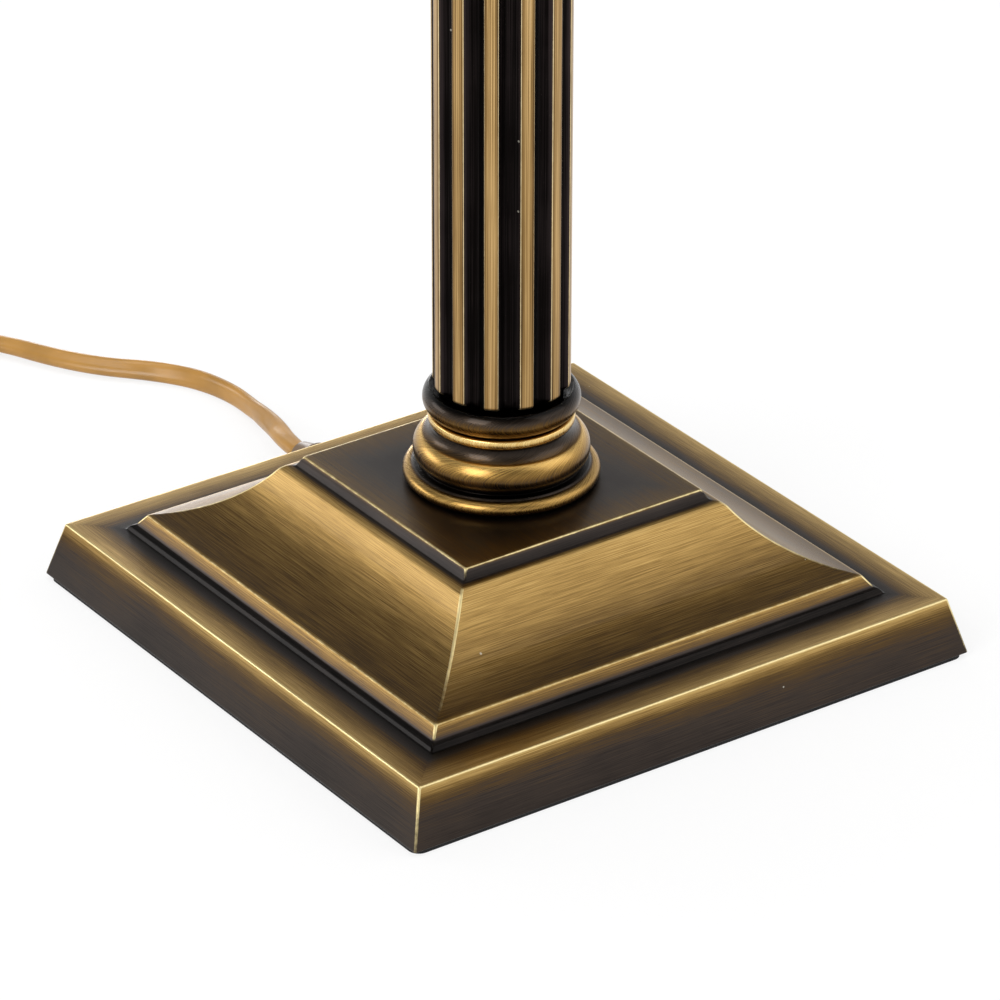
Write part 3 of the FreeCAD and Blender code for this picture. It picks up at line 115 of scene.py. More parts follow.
@dataclass(frozen=True)
class Outline:
    """A closed half section, up the outside and back down the inside.

    Attributes:
        runs: Its first point, then the runs that follow it.
    """

    runs: tuple[Run, ...]

    STEP = 0.08
    FEWEST_STEPS = 16
    ARC_POINTS = 24
    KEEP_WITHIN = 0.012
    TONE_WEIGHT = 0.5
    EDGE_REACH = 0.55
    EDGE_FULL = 0.13
    BLUR_REACH = 3
    LEAST_BLUR = 0.3
    TINY = 1e-12

    def corners(self) -> list[Corner]:
        """Divide all the runs.

        Returns:
            Each point's r, z, tone and wear.
        """
        made: list[Corner] = []
        for run in self.runs:
            made += self._arc(made[-1], run) if run.rise else [(run.r, run.z, run.tone, run.wear)]
        return made

    def _arc(self, start: Corner, run: Run) -> list[Corner]:
        """Divide an arc.

        Args:
            start: Where it starts.
            run: Its run.

        Returns:
            Its points after the start.
        """
        r0, z0, tone0, wear0 = start
        chord = math.hypot(run.r - r0, run.z - z0)
        left = (-(run.z - z0) / chord, (run.r - r0) / chord)
        radius = (chord ** 2 / 4 + run.rise ** 2) / (2 * abs(run.rise))
        side = math.copysign(1.0, run.rise)
        back = side * (radius - abs(run.rise))
        centre = ((r0 + run.r) / 2 - back * left[0], (z0 + run.z) / 2 - back * left[1])
        first = math.atan2(z0 - centre[1], r0 - centre[0])
        turn = -side * 2 * math.atan2(chord / 2, radius - abs(run.rise))
        made = []
        for k in range(1, self.ARC_POINTS + 1):
            share = k / self.ARC_POINTS
            angle = first + share * turn
            made.append((
                centre[0] + radius * math.cos(angle), centre[1] + radius * math.sin(angle),
                tone0 + share * (run.tone - tone0), wear0 + share * (run.wear - wear0),
            ))
        return made

    def softened(self, round_off: float) -> list[Station]:
        """Round the outline's corners off and measure how it bends.

        Args:
            round_off: How far the rounding reaches along the outline.

        Returns:
            The closed outline's stations, with no more of them than its shape needs.
        """
        points = self.corners()
        corners = np.array(points + points[:1])
        runs = np.linalg.norm(np.diff(corners[:, :2], axis=0), axis=1)
        travelled = np.concatenate([[0.0], np.cumsum(runs)])
        count = max(self.FEWEST_STEPS, round(travelled[-1] / self.STEP))
        along = np.linspace(0.0, travelled[-1], count, endpoint=False)
        path = np.stack([np.interp(along, travelled, corners[:, k]) for k in range(4)], axis=1)
        step = travelled[-1] / count
        soft = self._blurred(path, round_off / step)
        loose = self._blurred(path, self.EDGE_REACH / step)
        places = soft[:, :2]
        ahead = np.roll(places, -1, axis=0) - np.roll(places, 1, axis=0)
        ahead /= np.maximum(np.linalg.norm(ahead, axis=1), self.TINY)[:, None]
        outward = np.stack([ahead[:, 1], -ahead[:, 0]], axis=1)
        relief = ((soft - loose)[:, :2] * outward).sum(1)
        edge = np.clip(relief / self.EDGE_FULL, 0.0, 1.0) * soft[:, 3]
        weighed = np.column_stack([
            soft[:, :2], soft[:, 2] * self.TONE_WEIGHT, edge * self.TONE_WEIGHT,
        ])
        return [
            Station(soft[i, 0] * MM, soft[i, 1] * MM, along[i] * MM, soft[i, 2], edge[i],
                    outward[i, 0])
            for i in self._kept(weighed)
        ]

    def _blurred(self, path: np.ndarray, reach: float) -> np.ndarray:
        """Average a closed path with its neighbours.

        Args:
            path: One row for each point.
            reach: How far the averaging reaches, in steps.

        Returns:
            The smoother path.
        """
        wide = max(1, math.ceil(self.BLUR_REACH * reach))
        spread = np.arange(-wide, wide + 1) / max(reach, self.LEAST_BLUR)
        weights = np.exp(-0.5 * spread ** 2)
        weights /= weights.sum()
        padded = np.concatenate([path[-wide:], path, path[:wide]])
        return np.stack([np.convolve(column, weights, "valid") for column in padded.T], axis=1)

    def _kept(self, path: np.ndarray) -> list[int]:
        """Choose the places of a closed path that its shape and its tones need.

        Args:
            path: One row for each point.

        Returns:
            The numbers of the rows to keep, in order.
        """
        count = len(path)
        thirds = (0, count // 3, 2 * count // 3, count)
        keep = set(thirds[:-1])
        todo = list(zip(thirds, thirds[1:]))
        closed = np.concatenate([path, path[:1]])
        while todo:
            a, b = todo.pop()
            if b - a < 2:
                continue
            chord = closed[b] - closed[a]
            inner = closed[a + 1:b] - closed[a]
            share = np.clip(inner @ chord / max(chord @ chord, self.TINY), 0, 1)
            away = np.linalg.norm(inner - share[:, None] * chord, axis=1)
            far = int(away.argmax())
            if away[far] > self.KEEP_WITHIN:
                middle = a + 1 + far
                keep.add(middle)
                todo += [(a, middle), (middle, b)]
        return sorted(keep)


class Skin:
    """A mesh in the making: points with values, and faces with a brushing map."""

    FLOW = "brushing"

    def __init__(self) -> None:
        """Start with nothing."""
        self.points: list[Point] = []
        self.values: dict[str, list[float]] = {"tone": [], "edge": []}
        self.faces: list[tuple[int, ...]] = []
        self.flow: list[Pair] = []

    def point(self, place: Sequence[float], tone: float, edge: float = 0.0) -> None:
        """Add a point.

        Args:
            place: Where it is.
            tone: Its tone of patina, with painted shade and light in it.
            edge: How sharp an edge it lies on.
        """
        self.points.append(tuple(place))
        self.values["tone"].append(tone)
        self.values["edge"].append(edge)

    def face(self, corners: Sequence[int], flow: Sequence[Pair]) -> None:
        """Add a face with the brushing map's place at each corner."""
        self.faces.append(tuple(corners))
        self.flow.extend(flow)

    @staticmethod
    def net(long: int, wide: int, closed: bool = True) -> Iterator[tuple[int, int, Quad]]:
        """Go over the faces between loops of points.

        Args:
            long: How many loops there are.
            wide: How many points each has.
            closed: Whether the last loop joins the first.

        Yields:
            Each face's loop, its place in the loop and its corners.
        """
        for i in range(long if closed else long - 1):
            for j in range(wide):
                k, m = (i + 1) % long, (j + 1) % wide
                yield i, j, (i * wide + j, i * wide + m, k * wide + m, k * wide + j)

    def raised(self, height: float, turned_over: bool = False) -> "Skin":
        """Stand the skin on a height.

        Args:
            height: The height, in millimetres.
            turned_over: Whether it hangs from there instead.

        Returns:
            The skin itself.
        """
        side = -1 if turned_over else 1
        foot = height * MM
        self.points = [(x, side * y, foot + side * z) for x, y, z in self.points]
        return self

    def made(self, name: str) -> Piece:
        """Turn the skin into a smooth-shaded object.

        Args:
            name: The object's name.

        Returns:
            The object, in the scene.
        """
        mesh = bpy.data.meshes.new(name)
        mesh.from_pydata(self.points, [], self.faces)
        for key, values in self.values.items():
            mesh.attributes.new(key, "FLOAT", "POINT").data.foreach_set("value", values)
        layer = mesh.uv_layers.new(name=self.FLOW)
        layer.data.foreach_set("uv", [x for pair in self.flow for x in pair])
        mesh.shade_smooth()
        mesh.update()
        return shown(name, mesh)


def shown(name: str, data: bpy.types.ID) -> Piece:
    """Put a mesh, lamp or camera in the scene.

    Args:
        name: The object's name.
        data: What it shows.

    Returns:
        The object.
    """
    made = bpy.data.objects.new(name, data)
    bpy.context.scene.collection.objects.link(made)
    return made


def turned_skin(stations: Sequence[Station], steps: int, slant: float = 0.0) -> Skin:
    """Sweep an outline round the Z axis.

    Args:
        stations: The closed outline.
        steps: How many steps make a full turn.
        slant: How far the brushing leans from the outline towards the turn.

    Returns:
        The closed skin.
    """
    skin = Skin()
    turns = [2 * math.pi * j / steps for j in range(steps + 1)]
    for s in stations:
        for t in turns[:-1]:
            skin.point((s.r * math.cos(t), s.r * math.sin(t), s.z), s.tone, s.edge)
    first, last = stations[0], stations[-1]
    closing = last.along + math.hypot(first.r - last.r, first.z - last.z)
    along = [*(s.along for s in stations), closing]
    rim = [*(s.r for s in stations), first.r]
    for i, j, corners in skin.net(len(stations), steps):
        places = ((i, j), (i, j + 1), (i + 1, j + 1), (i + 1, j))
        rounds = [rim[a] * turns[b] for a, b in places]
        skin.face(corners, [(along[a] + slant * v, v) for (a, _), v in zip(places, rounds)])
    return skin


class SquareSide(Enum):
    """The four sides of a square piece, as the direction that each one runs in."""

    FRONT = (1, 0)
    RIGHT = (0, 1)
    BACK = (-1, 0)
    LEFT = (0, -1)

    def place(self, along: float, out: float) -> Pair:
        """The X and Y of a place along this side and out from the middle."""
        x, y = self.value
        return along * x + out * y, along * y - out * x

    def along(self, point: Point) -> float:
        """How far along this side a point lies."""
        return point[0] * self.value[0] + point[1] * self.value[1]


@dataclass(frozen=True)
class Spot:
    """One place of the loop round a square.

    Attributes:
        side: The side that it is on.
        share: How far along the side it is, from -1 to 1.
        reach: How far back it stays from the side's end.
        turn: How far round the eased corner it is.
    """

    side: SquareSide
    share: float
    reach: float = 0.0
    turn: float = 0.0


@dataclass(frozen=True)
class SquareSweep:
    """How an outline is carried round a square, with its corners eased.

    Attributes:
        corner: Radius of the eased vertical corners.
        wear: How far the corner's wear reaches along the sides.
        arc_steps: Steps round one corner.
        side_steps: Steps along one side, between the corners' wear.
        top_half: Inside this half width the brushing runs along Y everywhere.
    """

    corner: float = 0.45 * MM
    wear: float = 0.32 * MM
    arc_steps: int = 4
    side_steps: int = 8
    top_half: float = 0.0

    LONGEST_EASING = 0.3
    UPRIGHT_POWER = 0.7
    DULL_WEAR = (0.2, 1.9)
    LEVEL = 0.3

    def skin(self, stations: Sequence[Station]) -> Skin:
        """Sweep a closed outline round the square.

        Args:
            stations: The closed outline.

        Returns:
            The closed skin.
        """
        skin = Skin()
        spots = self._spots()
        for s in stations:
            for spot in spots:
                self._add(skin, s, spot)
        for i, j, corners in skin.net(len(stations), len(spots)):
            ends = (stations[i], stations[(i + 1) % len(stations)])
            skin.face(corners, self._flow(skin, corners, spots[j].side, ends))
        return skin

    def _spots(self) -> list[Spot]:
        """Lay out one loop round the square, side by side.

        Returns:
            The places, in order.
        """
        eighth = math.pi / 4
        reaches = (0.0, self.wear, 3 * self.wear)
        spots = []
        for side in SquareSide:
            spots += [Spot(side, -1.0, turn=(k / self.arc_steps - 1) * eighth)
                      for k in range(self.arc_steps)]
            spots += [Spot(side, -1.0, reach) for reach in reaches]
            spots += [Spot(side, 2 * k / self.side_steps - 1) for k in range(1, self.side_steps)]
            spots += [Spot(side, 1.0, reach) for reach in reversed(reaches)]
            spots += [Spot(side, 1.0, turn=k / self.arc_steps * eighth)
                      for k in range(1, self.arc_steps)]
        return spots

    def _add(self, skin: Skin, s: Station, spot: Spot) -> None:
        """Add one point of a loop, brighter where the eased corner is rubbed.

        Args:
            skin: What it is added to.
            s: The loop's station.
            spot: Its place in the loop.
        """
        corner = min(self.corner, self.LONGEST_EASING * s.r)
        straight = s.r - corner
        along, out = spot.share * straight, s.r
        if spot.turn:
            along += math.copysign(corner * math.sin(abs(spot.turn)), spot.turn)
            out = straight + corner * math.cos(spot.turn)
        else:
            along -= spot.share * min(spot.reach, self.LONGEST_EASING * straight)
        worn = 0.0
        if abs(spot.share) == 1.0 and not spot.reach:
            least, gain = self.DULL_WEAR
            worn = abs(s.outward) ** self.UPRIGHT_POWER * min(1.0, least + gain * s.tone)
        skin.point((*spot.side.place(along, out), s.z), s.tone, max(s.edge, worn))

    def _flow(self, skin: Skin, corners: Quad, side: SquareSide,
              ends: tuple[Station, Station]) -> list[Pair]:
        """Lay the brushing map: along the side, or along Y on a level top.

        Args:
            skin: The skin in the making.
            corners: The face's corners.
            side: The face's side.
            ends: The stations of its two loops.

        Returns:
            The map's place at each corner.
        """
        a, b = ends
        if max(a.r, b.r) < self.top_half and a.outward < self.LEVEL:
            return [(skin.points[c][1], skin.points[c][0]) for c in corners]
        across = (a.along, a.along, b.along, b.along)
        return [(side.along(skin.points[c]), v) for c, v in zip(corners, across)]


def dressed(piece: Piece, body: str, material: Material, *nodes: str) -> Piece:
    """Give a piece its finish and its place in the frame.

    Args:
        piece: The finished object.
        body: The body that it rides on.
        material: What it is made of.
        *nodes: The frame's nodes that it stands for, which are hidden.

    Returns:
        The piece.
    """
    piece.data.materials.append(material)
    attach(piece, body)
    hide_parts(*nodes)
    log.info("%s: %d faces", piece.name, len(piece.data.polygons))
    return piece


# ------------------------------------------------------------------------ shader nodes

class Graph:
    """Short calls for making and joining the nodes of one tree."""

    def __init__(self, tree: bpy.types.NodeTree) -> None:
        """Work on one tree."""
        self.tree = tree

    def node(self, kind: str, inputs: dict[str | int, object] | None = None,
             **settings: object) -> bpy.types.Node:
        """Add a node.

        Args:
            kind: The node's type.
            inputs: Values or sockets for its inputs, by name or number.
            **settings: Its own properties.

        Returns:
            The node.
        """
        made = self.tree.nodes.new(kind)
        for key, value in settings.items():
            setattr(made, key, value)
        for key, value in (inputs or {}).items():
            self.feed(made.inputs[key], value)
        return made

    def feed(self, target: Socket, value: object) -> None:
        """Link a socket to an input, or set the input's own value.

        Args:
            target: The input.
            value: The socket or value.
        """
        if isinstance(value, bpy.types.NodeSocket):
            self.tree.links.new(value, target)
        elif isinstance(value, tuple) and len(value) == 3 and target.type == "RGBA":
            target.default_value = (*value, 1.0)
        else:
            target.default_value = value

    def math(self, operation: str, a: object, b: object = 0.0) -> Socket:
        """The result of a sum on two values or sockets."""
        return self.node("ShaderNodeMath", {0: a, 1: b}, operation=operation).outputs[0]

    def times(self, a: object, b: object) -> Socket:
        """One value times another."""
        return self.math("MULTIPLY", a, b)

    def plus(self, a: object, b: object) -> Socket:
        """One value and another."""
        return self.math("ADD", a, b)

    def minus(self, a: object, b: object) -> Socket:
        """One value less another."""
        return self.math("SUBTRACT", a, b)

    def swung(self, middle: float, value: Socket, swing: float) -> Socket:
        """A value that swings about a middle as another goes from 0 to 1."""
        return self.plus(middle, self.times(self.minus(value, 0.5), swing))

    def spread(self, value: object, low: float, high: float, new_low: float = 0.0,
               new_high: float = 1.0) -> Socket:
        """Carry a value from one range to another, with smooth ends.

        Args:
            value: The value.
            low: The old range's start.
            high: The old range's end.
            new_low: What the start becomes.
            new_high: What the end becomes.

        Returns:
            The new value.
        """
        made = self.node("ShaderNodeMapRange", {
            "Value": value, "From Min": low, "From Max": high, "To Min": new_low,
            "To Max": new_high,
        }, interpolation_type="SMOOTHSTEP")
        return made.outputs[0]

    def mixed(self, factor: object, a: object, b: object, blend: str = "MIX") -> Socket:
        """Mix two colours.

        Args:
            factor: The second colour's share.
            a: The first colour.
            b: The second colour.
            blend: How they are mixed.

        Returns:
            The colour.
        """
        made = self.node("ShaderNodeMix", data_type="RGBA", blend_type=blend)
        for number, value in ((0, factor), (6, a), (7, b)):
            self.feed(made.inputs[number], value)
        return made.outputs[2]

    def ramp(self, factor: object, stops: Sequence[tuple[float, Colour]]) -> Socket:
        """Look a colour up along a row of stops.

        Args:
            factor: Where to look.
            stops: Each stop's place and colour.

        Returns:
            The colour.
        """
        made = self.node("ShaderNodeValToRGB", {0: factor})
        elements = made.color_ramp.elements
        while len(elements) < len(stops):
            elements.new(1.0)
        for element, (position, colour) in zip(elements, stops):
            element.position = position
            element.color = (*colour, 1.0)
        return made.outputs[0]

    def parts(self, vector: Socket) -> bpy.types.NodeOutputs:
        """A vector's X, Y and Z."""
        return self.node("ShaderNodeSeparateXYZ", {0: vector}).outputs

    def vector(self, *parts: object) -> Socket:
        """A vector made from its parts."""
        return self.node("ShaderNodeCombineXYZ", dict(enumerate(parts))).outputs[0]

    def noise(self, vector: Socket, scale: object, detail: float = 3.0,
              rough: float = 0.55) -> Socket:
        """Make a cloudy value, about one half.

        Args:
            vector: Where on the surface.
            scale: How many clouds there are in a metre.
            detail: How many finer layers there are.
            rough: How strong each finer layer is.

        Returns:
            The value.
        """
        return self.node("ShaderNodeTexNoise", {
            "Vector": vector, "Scale": scale, "Detail": detail, "Roughness": rough,
        }).outputs[0]


class SocketKind(Enum):
    """The kinds of socket that a shared effect has."""

    VALUE = "NodeSocketFloat"
    VECTOR = "NodeSocketVector"
    COLOUR = "NodeSocketColor"

    @classmethod
    def of(cls, name: str) -> "SocketKind":
        """The kind that a socket's name stands for in every effect."""
        kinds = {"Flow": cls.VECTOR, "Place": cls.VECTOR, "Colour": cls.COLOUR}
        return kinds.get(name, cls.VALUE)


class Effect:
    """A shader node group with named inputs and outputs, built once and used by many."""

    def __init__(self, name: str, inputs: Sequence[str], outputs: Sequence[str]) -> None:
        """Make the empty group.

        Args:
            name: The group's name.
            inputs: Its inputs' names.
            outputs: Its outputs' names.
        """
        self.tree = bpy.data.node_groups.new(name, "ShaderNodeTree")
        for way, names in (("INPUT", inputs), ("OUTPUT", outputs)):
            for key in names:
                self.tree.interface.new_socket(
                    name=key, in_out=way, socket_type=SocketKind.of(key).value)
        self.graph = Graph(self.tree)
        self.entry = self.graph.node("NodeGroupInput").outputs
        self.exit = self.graph.node("NodeGroupOutput").inputs

    def give(self, **values: Socket) -> "Effect":
        """Feed the group's outputs and return the effect.

        Args:
            **values: What goes to each output, by its name.

        Returns:
            The effect itself.
        """
        for key, value in values.items():
            self.graph.feed(self.exit[key], value)
        return self

    def use(self, graph: Graph, **inputs: object) -> bpy.types.NodeOutputs:
        """Place the group in a material.

        Args:
            graph: The material's graph.
            **inputs: What goes into it there, by its inputs' names.

        Returns:
            The placed group's outputs.
        """
        placed = graph.node("ShaderNodeGroup", node_tree=self.tree)
        for key, value in inputs.items():
            graph.feed(placed.inputs[key], value)
        return placed.outputs


@dataclass(frozen=True)
class Streak:
    """One layer of brush marks: noise drawn out along the brushing.

    Attributes:
        thin: How thin its marks are, against the finish's own fineness.
        stretch: How quickly a mark changes, against the finish's own reach.
        detail: How many finer layers the noise has.
        low: The noise that becomes 0.
        high: The noise that becomes 1.
        share: Its share in the lines, below 0 where it leaves them bare.
    """

    thin: float
    stretch: float
    detail: float
    low: float
    high: float
    share: float


STREAKS = (
    Streak(1.0, 1.0, 3.0, 0.34, 0.66, 0.5),
    Streak(1.9, 0.6, 1.0, 0.34, 0.66, 0.34),
    Streak(0.22, 0.5, 1.0, 0.3, 0.7, 0.1),
    Streak(1.3, 2.6, 1.0, 0.56, 0.72, -0.2),
)
STREAK_ROUGH = 0.6
PLAIN_LINES = 0.06


def brushed_lines() -> Effect:
    """Fine scratches that run along the brushing map's first axis.

    Returns:
        The effect.
    """
    made = Effect("brushed_lines", ("Flow", "Fineness", "Reach"), ("Lines",))
    g = made.graph
    flow = g.parts(made.entry["Flow"])
    lines: float | Socket = PLAIN_LINES
    for streak in STREAKS:
        u = g.times(flow[0], g.times(made.entry["Reach"], streak.stretch))
        v = g.times(flow[1], g.times(made.entry["Fineness"], streak.thin))
        marks = g.noise(g.vector(u, v, streak.thin), 1.0, streak.detail, STREAK_ROUGH)
        lines = g.plus(lines, g.times(g.spread(marks, streak.low, streak.high), streak.share))
    return made.give(Lines=lines)


WEAR_CLOUDS = 300.0
WEAR_RANGE = (0.3, 0.85)


def worn_edges() -> Effect:
    """Where an edge is rubbed through to bright metal, with ragged ends.

    Returns:
        The effect.
    """
    made = Effect("worn_edges", ("Edge", "Place", "Ragged"), ("Wear",))
    g = made.graph
    cloud = g.noise(made.entry["Place"], WEAR_CLOUDS, 5.0, 0.7)
    bite = g.times(g.minus(cloud, 0.5), made.entry["Ragged"])
    return made.give(Wear=g.spread(g.plus(made.entry["Edge"], bite), *WEAR_RANGE))


LARGEST_SPECK = 0.11


def fine_dust() -> Effect:
    """Sparse pale specks of dust.

    Returns:
        The effect.
    """
    made = Effect("fine_dust", ("Place", "Scale", "Share"), ("Specks",))
    g = made.graph
    entry = made.entry
    cells = g.node("ShaderNodeTexVoronoi", {"Vector": entry["Place"], "Scale": entry["Scale"]})
    picked = g.node("ShaderNodeSeparateColor", {0: cells.outputs["Color"]}).outputs
    size = g.times(picked[1], LARGEST_SPECK)
    dot = g.math("LESS_THAN", cells.outputs["Distance"], size)
    return made.give(Specks=g.times(dot, g.math("LESS_THAN", picked[0], entry["Share"])))


# Between which tones the brushing comes up, and from what share of its strength.
GRAIN_RANGE = (0.05, 0.5, 0.25, 1.0)
PATINA_CLOUDS = 30.0
PATINA_CLOUD_DEPTH = 0.16
# The patina's colours by tone; the darkest ones also stand for painted shade.
PATINA_COLOURS = (
    (0.0, (0.0022, 0.0014, 0.0010)),
    (0.12, (0.026, 0.0195, 0.0165)),
    (0.2, (0.046, 0.034, 0.0270)),
    (0.3, (0.088, 0.050, 0.0170)),
    (0.44, (0.185, 0.108, 0.030)),
    (0.62, (0.370, 0.232, 0.073)),
    (0.82, (0.640, 0.430, 0.155)),
    (1.0, (0.880, 0.700, 0.350)),
)


def patina() -> Effect:
    """The colour of rubbed brown lacquer, from near black to bright brass, which also paints the
    shade and light that the tones carry.

    Returns:
        The effect.
    """
    made = Effect("patina", ("Tone", "Lines", "Place", "Grain"), ("Colour",))
    g = made.graph
    tone = made.entry["Tone"]
    cloud = g.minus(g.noise(made.entry["Place"], PATINA_CLOUDS, 4.0), 0.5)
    # The brushing shows most in the middle tones and hardly in the darkest.
    strength = g.times(made.entry["Grain"], g.spread(tone, *GRAIN_RANGE))
    grain = g.times(g.minus(made.entry["Lines"], 0.5), strength)
    level = g.plus(tone, g.plus(grain, g.times(cloud, PATINA_CLOUD_DEPTH)))
    return made.give(Colour=g.ramp(level, PATINA_COLOURS))


MOTTLE_CLOUDS = 60.0


def moulded_grain() -> Effect:
    """The soft mottle and fine tooth of a moulded plastic.

    Returns:
        The effect.
    """
    made = Effect("moulded_grain", ("Place", "Scale"), ("Tooth", "Mottle"))
    g = made.graph
    place = made.entry["Place"]
    return made.give(Tooth=g.noise(place, made.entry["Scale"], 4.0, 0.7),
                     Mottle=g.noise(place, MOTTLE_CLOUDS))


SLUBS_ACROSS = 700.0
SLUBS_ALONG = 24.0


def plain_weave() -> Effect:
    """Threads that pass over and under each other, thicker here and there.

    Returns:
        The effect.
    """
    made = Effect("plain_weave", ("Flow", "Threads"), ("Height", "Slub"))
    g = made.graph
    flow = g.parts(made.entry["Flow"])
    warp, weft = (g.times(flow[k], made.entry["Threads"]) for k in range(2))

    def thread(across: Socket, along: Socket) -> Socket:
        """Make a round thread that rises and sinks along its length.

        Args:
            across: The place across the threads, where each is 1 wide.
            along: The place along them.

        Returns:
            The thread's height.
        """
        body = g.math("ABSOLUTE", g.math("SINE", g.times(across, math.pi)))
        parity = g.times(g.math("FLOOR", across), math.pi)
        wave = g.math("SINE", g.plus(g.times(along, math.pi), parity))
        return g.times(body, g.plus(g.times(wave, 0.5), 0.5))

    height = g.math("MAXIMUM", thread(warp, weft), thread(weft, warp))
    slubs = [g.noise(g.vector(g.times(flow[0], across), g.times(flow[1], along)), 1.0, 2.0)
             for across, along in ((SLUBS_ACROSS, SLUBS_ALONG), (SLUBS_ALONG, SLUBS_ACROSS))]
    return made.give(Height=height, Slub=g.times(g.plus(*slubs), 0.5))


@dataclass
class Effects:
    """The shared effects, each built once."""

    brush: Effect = field(default_factory=brushed_lines)
    edges: Effect = field(default_factory=worn_edges)
    dust: Effect = field(default_factory=fine_dust)
    patina: Effect = field(default_factory=patina)
    grain: Effect = field(default_factory=moulded_grain)
    weave: Effect = field(default_factory=plain_weave)


@dataclass(frozen=True)
class Dust:
    """The dust that lies on a finish.

    Attributes:
        scale: How many specks there might be along a metre.
        cover: How well a speck hides what it lies on.
        colour: Its colour.
        share: How many of them there are, from 0 to 1.
    """

    scale: float
    cover: float
    colour: Colour
    share: float = 0.03


class Draft:
    """A material in the making, with the inputs that most finishes use."""

    CLOUD_RANGE = (0.3, 0.7)

    def __init__(self, name: str, effects: Effects) -> None:
        """Start a material with one Principled shader.

        Args:
            name: Its name.
            effects: The shared effects.
        """
        self.material = bpy.data.materials.new(name)
        self.material.use_nodes = True
        self.effects = effects
        self.graph = Graph(self.material.node_tree)
        self.shader = self.material.node_tree.nodes["Principled BSDF"]
        self.place = self.graph.node("ShaderNodeTexCoord").outputs["Object"]

    def flow(self) -> Socket:
        """The brushing map."""
        return self.graph.node("ShaderNodeUVMap", uv_map=Skin.FLOW).outputs[0]

    def value(self, name: str) -> Socket:
        """A value that the mesh carries at its points."""
        return self.graph.node("ShaderNodeAttribute", attribute_name=name).outputs["Fac"]

    def mottled(self, mottle: Socket, colour: Colour, depth: float) -> Socket:
        """A colour with darker clouds, as deep as asked."""
        darker = tuple((1 - depth) * c for c in colour)
        return self.graph.mixed(self.graph.spread(mottle, *self.CLOUD_RANGE), darker, colour)

    def dusted(self, colour: Socket, dust: Dust) -> Socket:
        """Lay dust on a colour.

        Args:
            colour: The colour.
            dust: The dust.

        Returns:
            The colour with its specks.
        """
        specks = self.effects.dust.use(
            self.graph, Place=self.place, Scale=dust.scale, Share=dust.share)["Specks"]
        return self.graph.mixed(self.graph.times(specks, dust.cover), colour, dust.colour)

    def finished(self, bump: tuple[Socket, float, float], **inputs: object) -> Material:
        """Set the shader's inputs and give the material.

        Args:
            bump: The surface's height, with its strength and distance.
            **inputs: The shader's inputs, with underlines for the spaces in their names.

        Returns:
            The material.
        """
        raised = self.graph.node("ShaderNodeBump", dict(zip(
            ("Height", "Strength", "Distance"), bump)))
        for key, value in {**inputs, "Normal": raised.outputs[0]}.items():
            self.graph.feed(self.shader.inputs[key.replace("_", " ")], value)
        return self.material


# ---------------------------------------------------------------------------- finishes

@dataclass(frozen=True)
class AntiqueBrass:
    """Brass under a brown patina, brushed back and lacquered.

    Attributes:
        name: The material's name.
        fineness: Brush lines across a metre.
        reach: How quickly a line changes along its length.
        grain: How strongly the lines show in the colour.
        rough: Roughness of the rubbed metal.
        lacquer: Weight of the clear coat.
        from_mesh: Whether the mesh carries tones, edges and a brushing map.
        tone: The tone where the mesh carries none.
        warmth: What its colour is multiplied by.
    """

    name: str
    fineness: float = 4400.0
    reach: float = 60.0
    grain: float = 0.32
    rough: float = 0.36
    lacquer: float = 0.12
    from_mesh: bool = True
    tone: float = 0.4
    warmth: Colour = WHITE

    BRIGHT = (0.80, 0.66, 0.33)
    RAGGED = 0.7
    SCRATCHES = (0.3, 0.04 * MM)
    ROUGH_SWING = 0.16
    DUST = Dust(330.0, 0.7, (0.55, 0.52, 0.44))

    def material(self, effects: Effects) -> Material:
        """Build the material.

        Args:
            effects: The shared effects.

        Returns:
            The material.
        """
        d = Draft(self.name, effects)
        g = d.graph
        lines = effects.brush.use(g, Flow=d.flow() if self.from_mesh else d.place,
                                  Fineness=self.fineness, Reach=self.reach)["Lines"]
        tone = d.value("tone") if self.from_mesh else self.tone
        colour = effects.patina.use(
            g, Tone=tone, Lines=lines, Place=d.place, Grain=self.grain)["Colour"]
        if self.from_mesh:
            wear = effects.edges.use(g, Edge=d.value("edge"), Place=d.place, Ragged=self.RAGGED)
            colour = g.mixed(wear["Wear"], colour, self.BRIGHT)
        colour = g.mixed(1.0, colour, self.warmth, "MULTIPLY")
        return d.finished(
            (lines, *self.SCRATCHES), Base_Color=d.dusted(colour, self.DUST), Metallic=1.0,
            Roughness=g.swung(self.rough, lines, self.ROUGH_SWING), Coat_Weight=self.lacquer,
            Coat_Roughness=0.06, Coat_IOR=1.5)


@dataclass(frozen=True)
class Plastic:
    """A moulded plastic with a soft mottle and a fine tooth.

    Attributes:
        name: The material's name.
        colour: Its colour.
        rough: Its roughness.
        mottle: How dark its mottle is.
    """

    name: str
    colour: Colour
    rough: float = 0.38
    mottle: float = 0.28

    TOOTH_SCALE = 1500.0
    TOOTH = (0.12, 0.08 * MM)
    ROUGH_SWING = 0.2
    DUST = Dust(260.0, 0.4, (0.5, 0.48, 0.44))

    def material(self, effects: Effects) -> Material:
        """Build the material.

        Args:
            effects: The shared effects.

        Returns:
            The material.
        """
        d = Draft(self.name, effects)
        grain = effects.grain.use(d.graph, Place=d.place, Scale=self.TOOTH_SCALE)
        colour = d.mottled(grain["Mottle"], self.colour, self.mottle)
        return d.finished(
            (grain["Tooth"], *self.TOOTH), Base_Color=d.dusted(colour, self.DUST),
            Roughness=d.graph.swung(self.rough, grain["Mottle"], self.ROUGH_SWING))


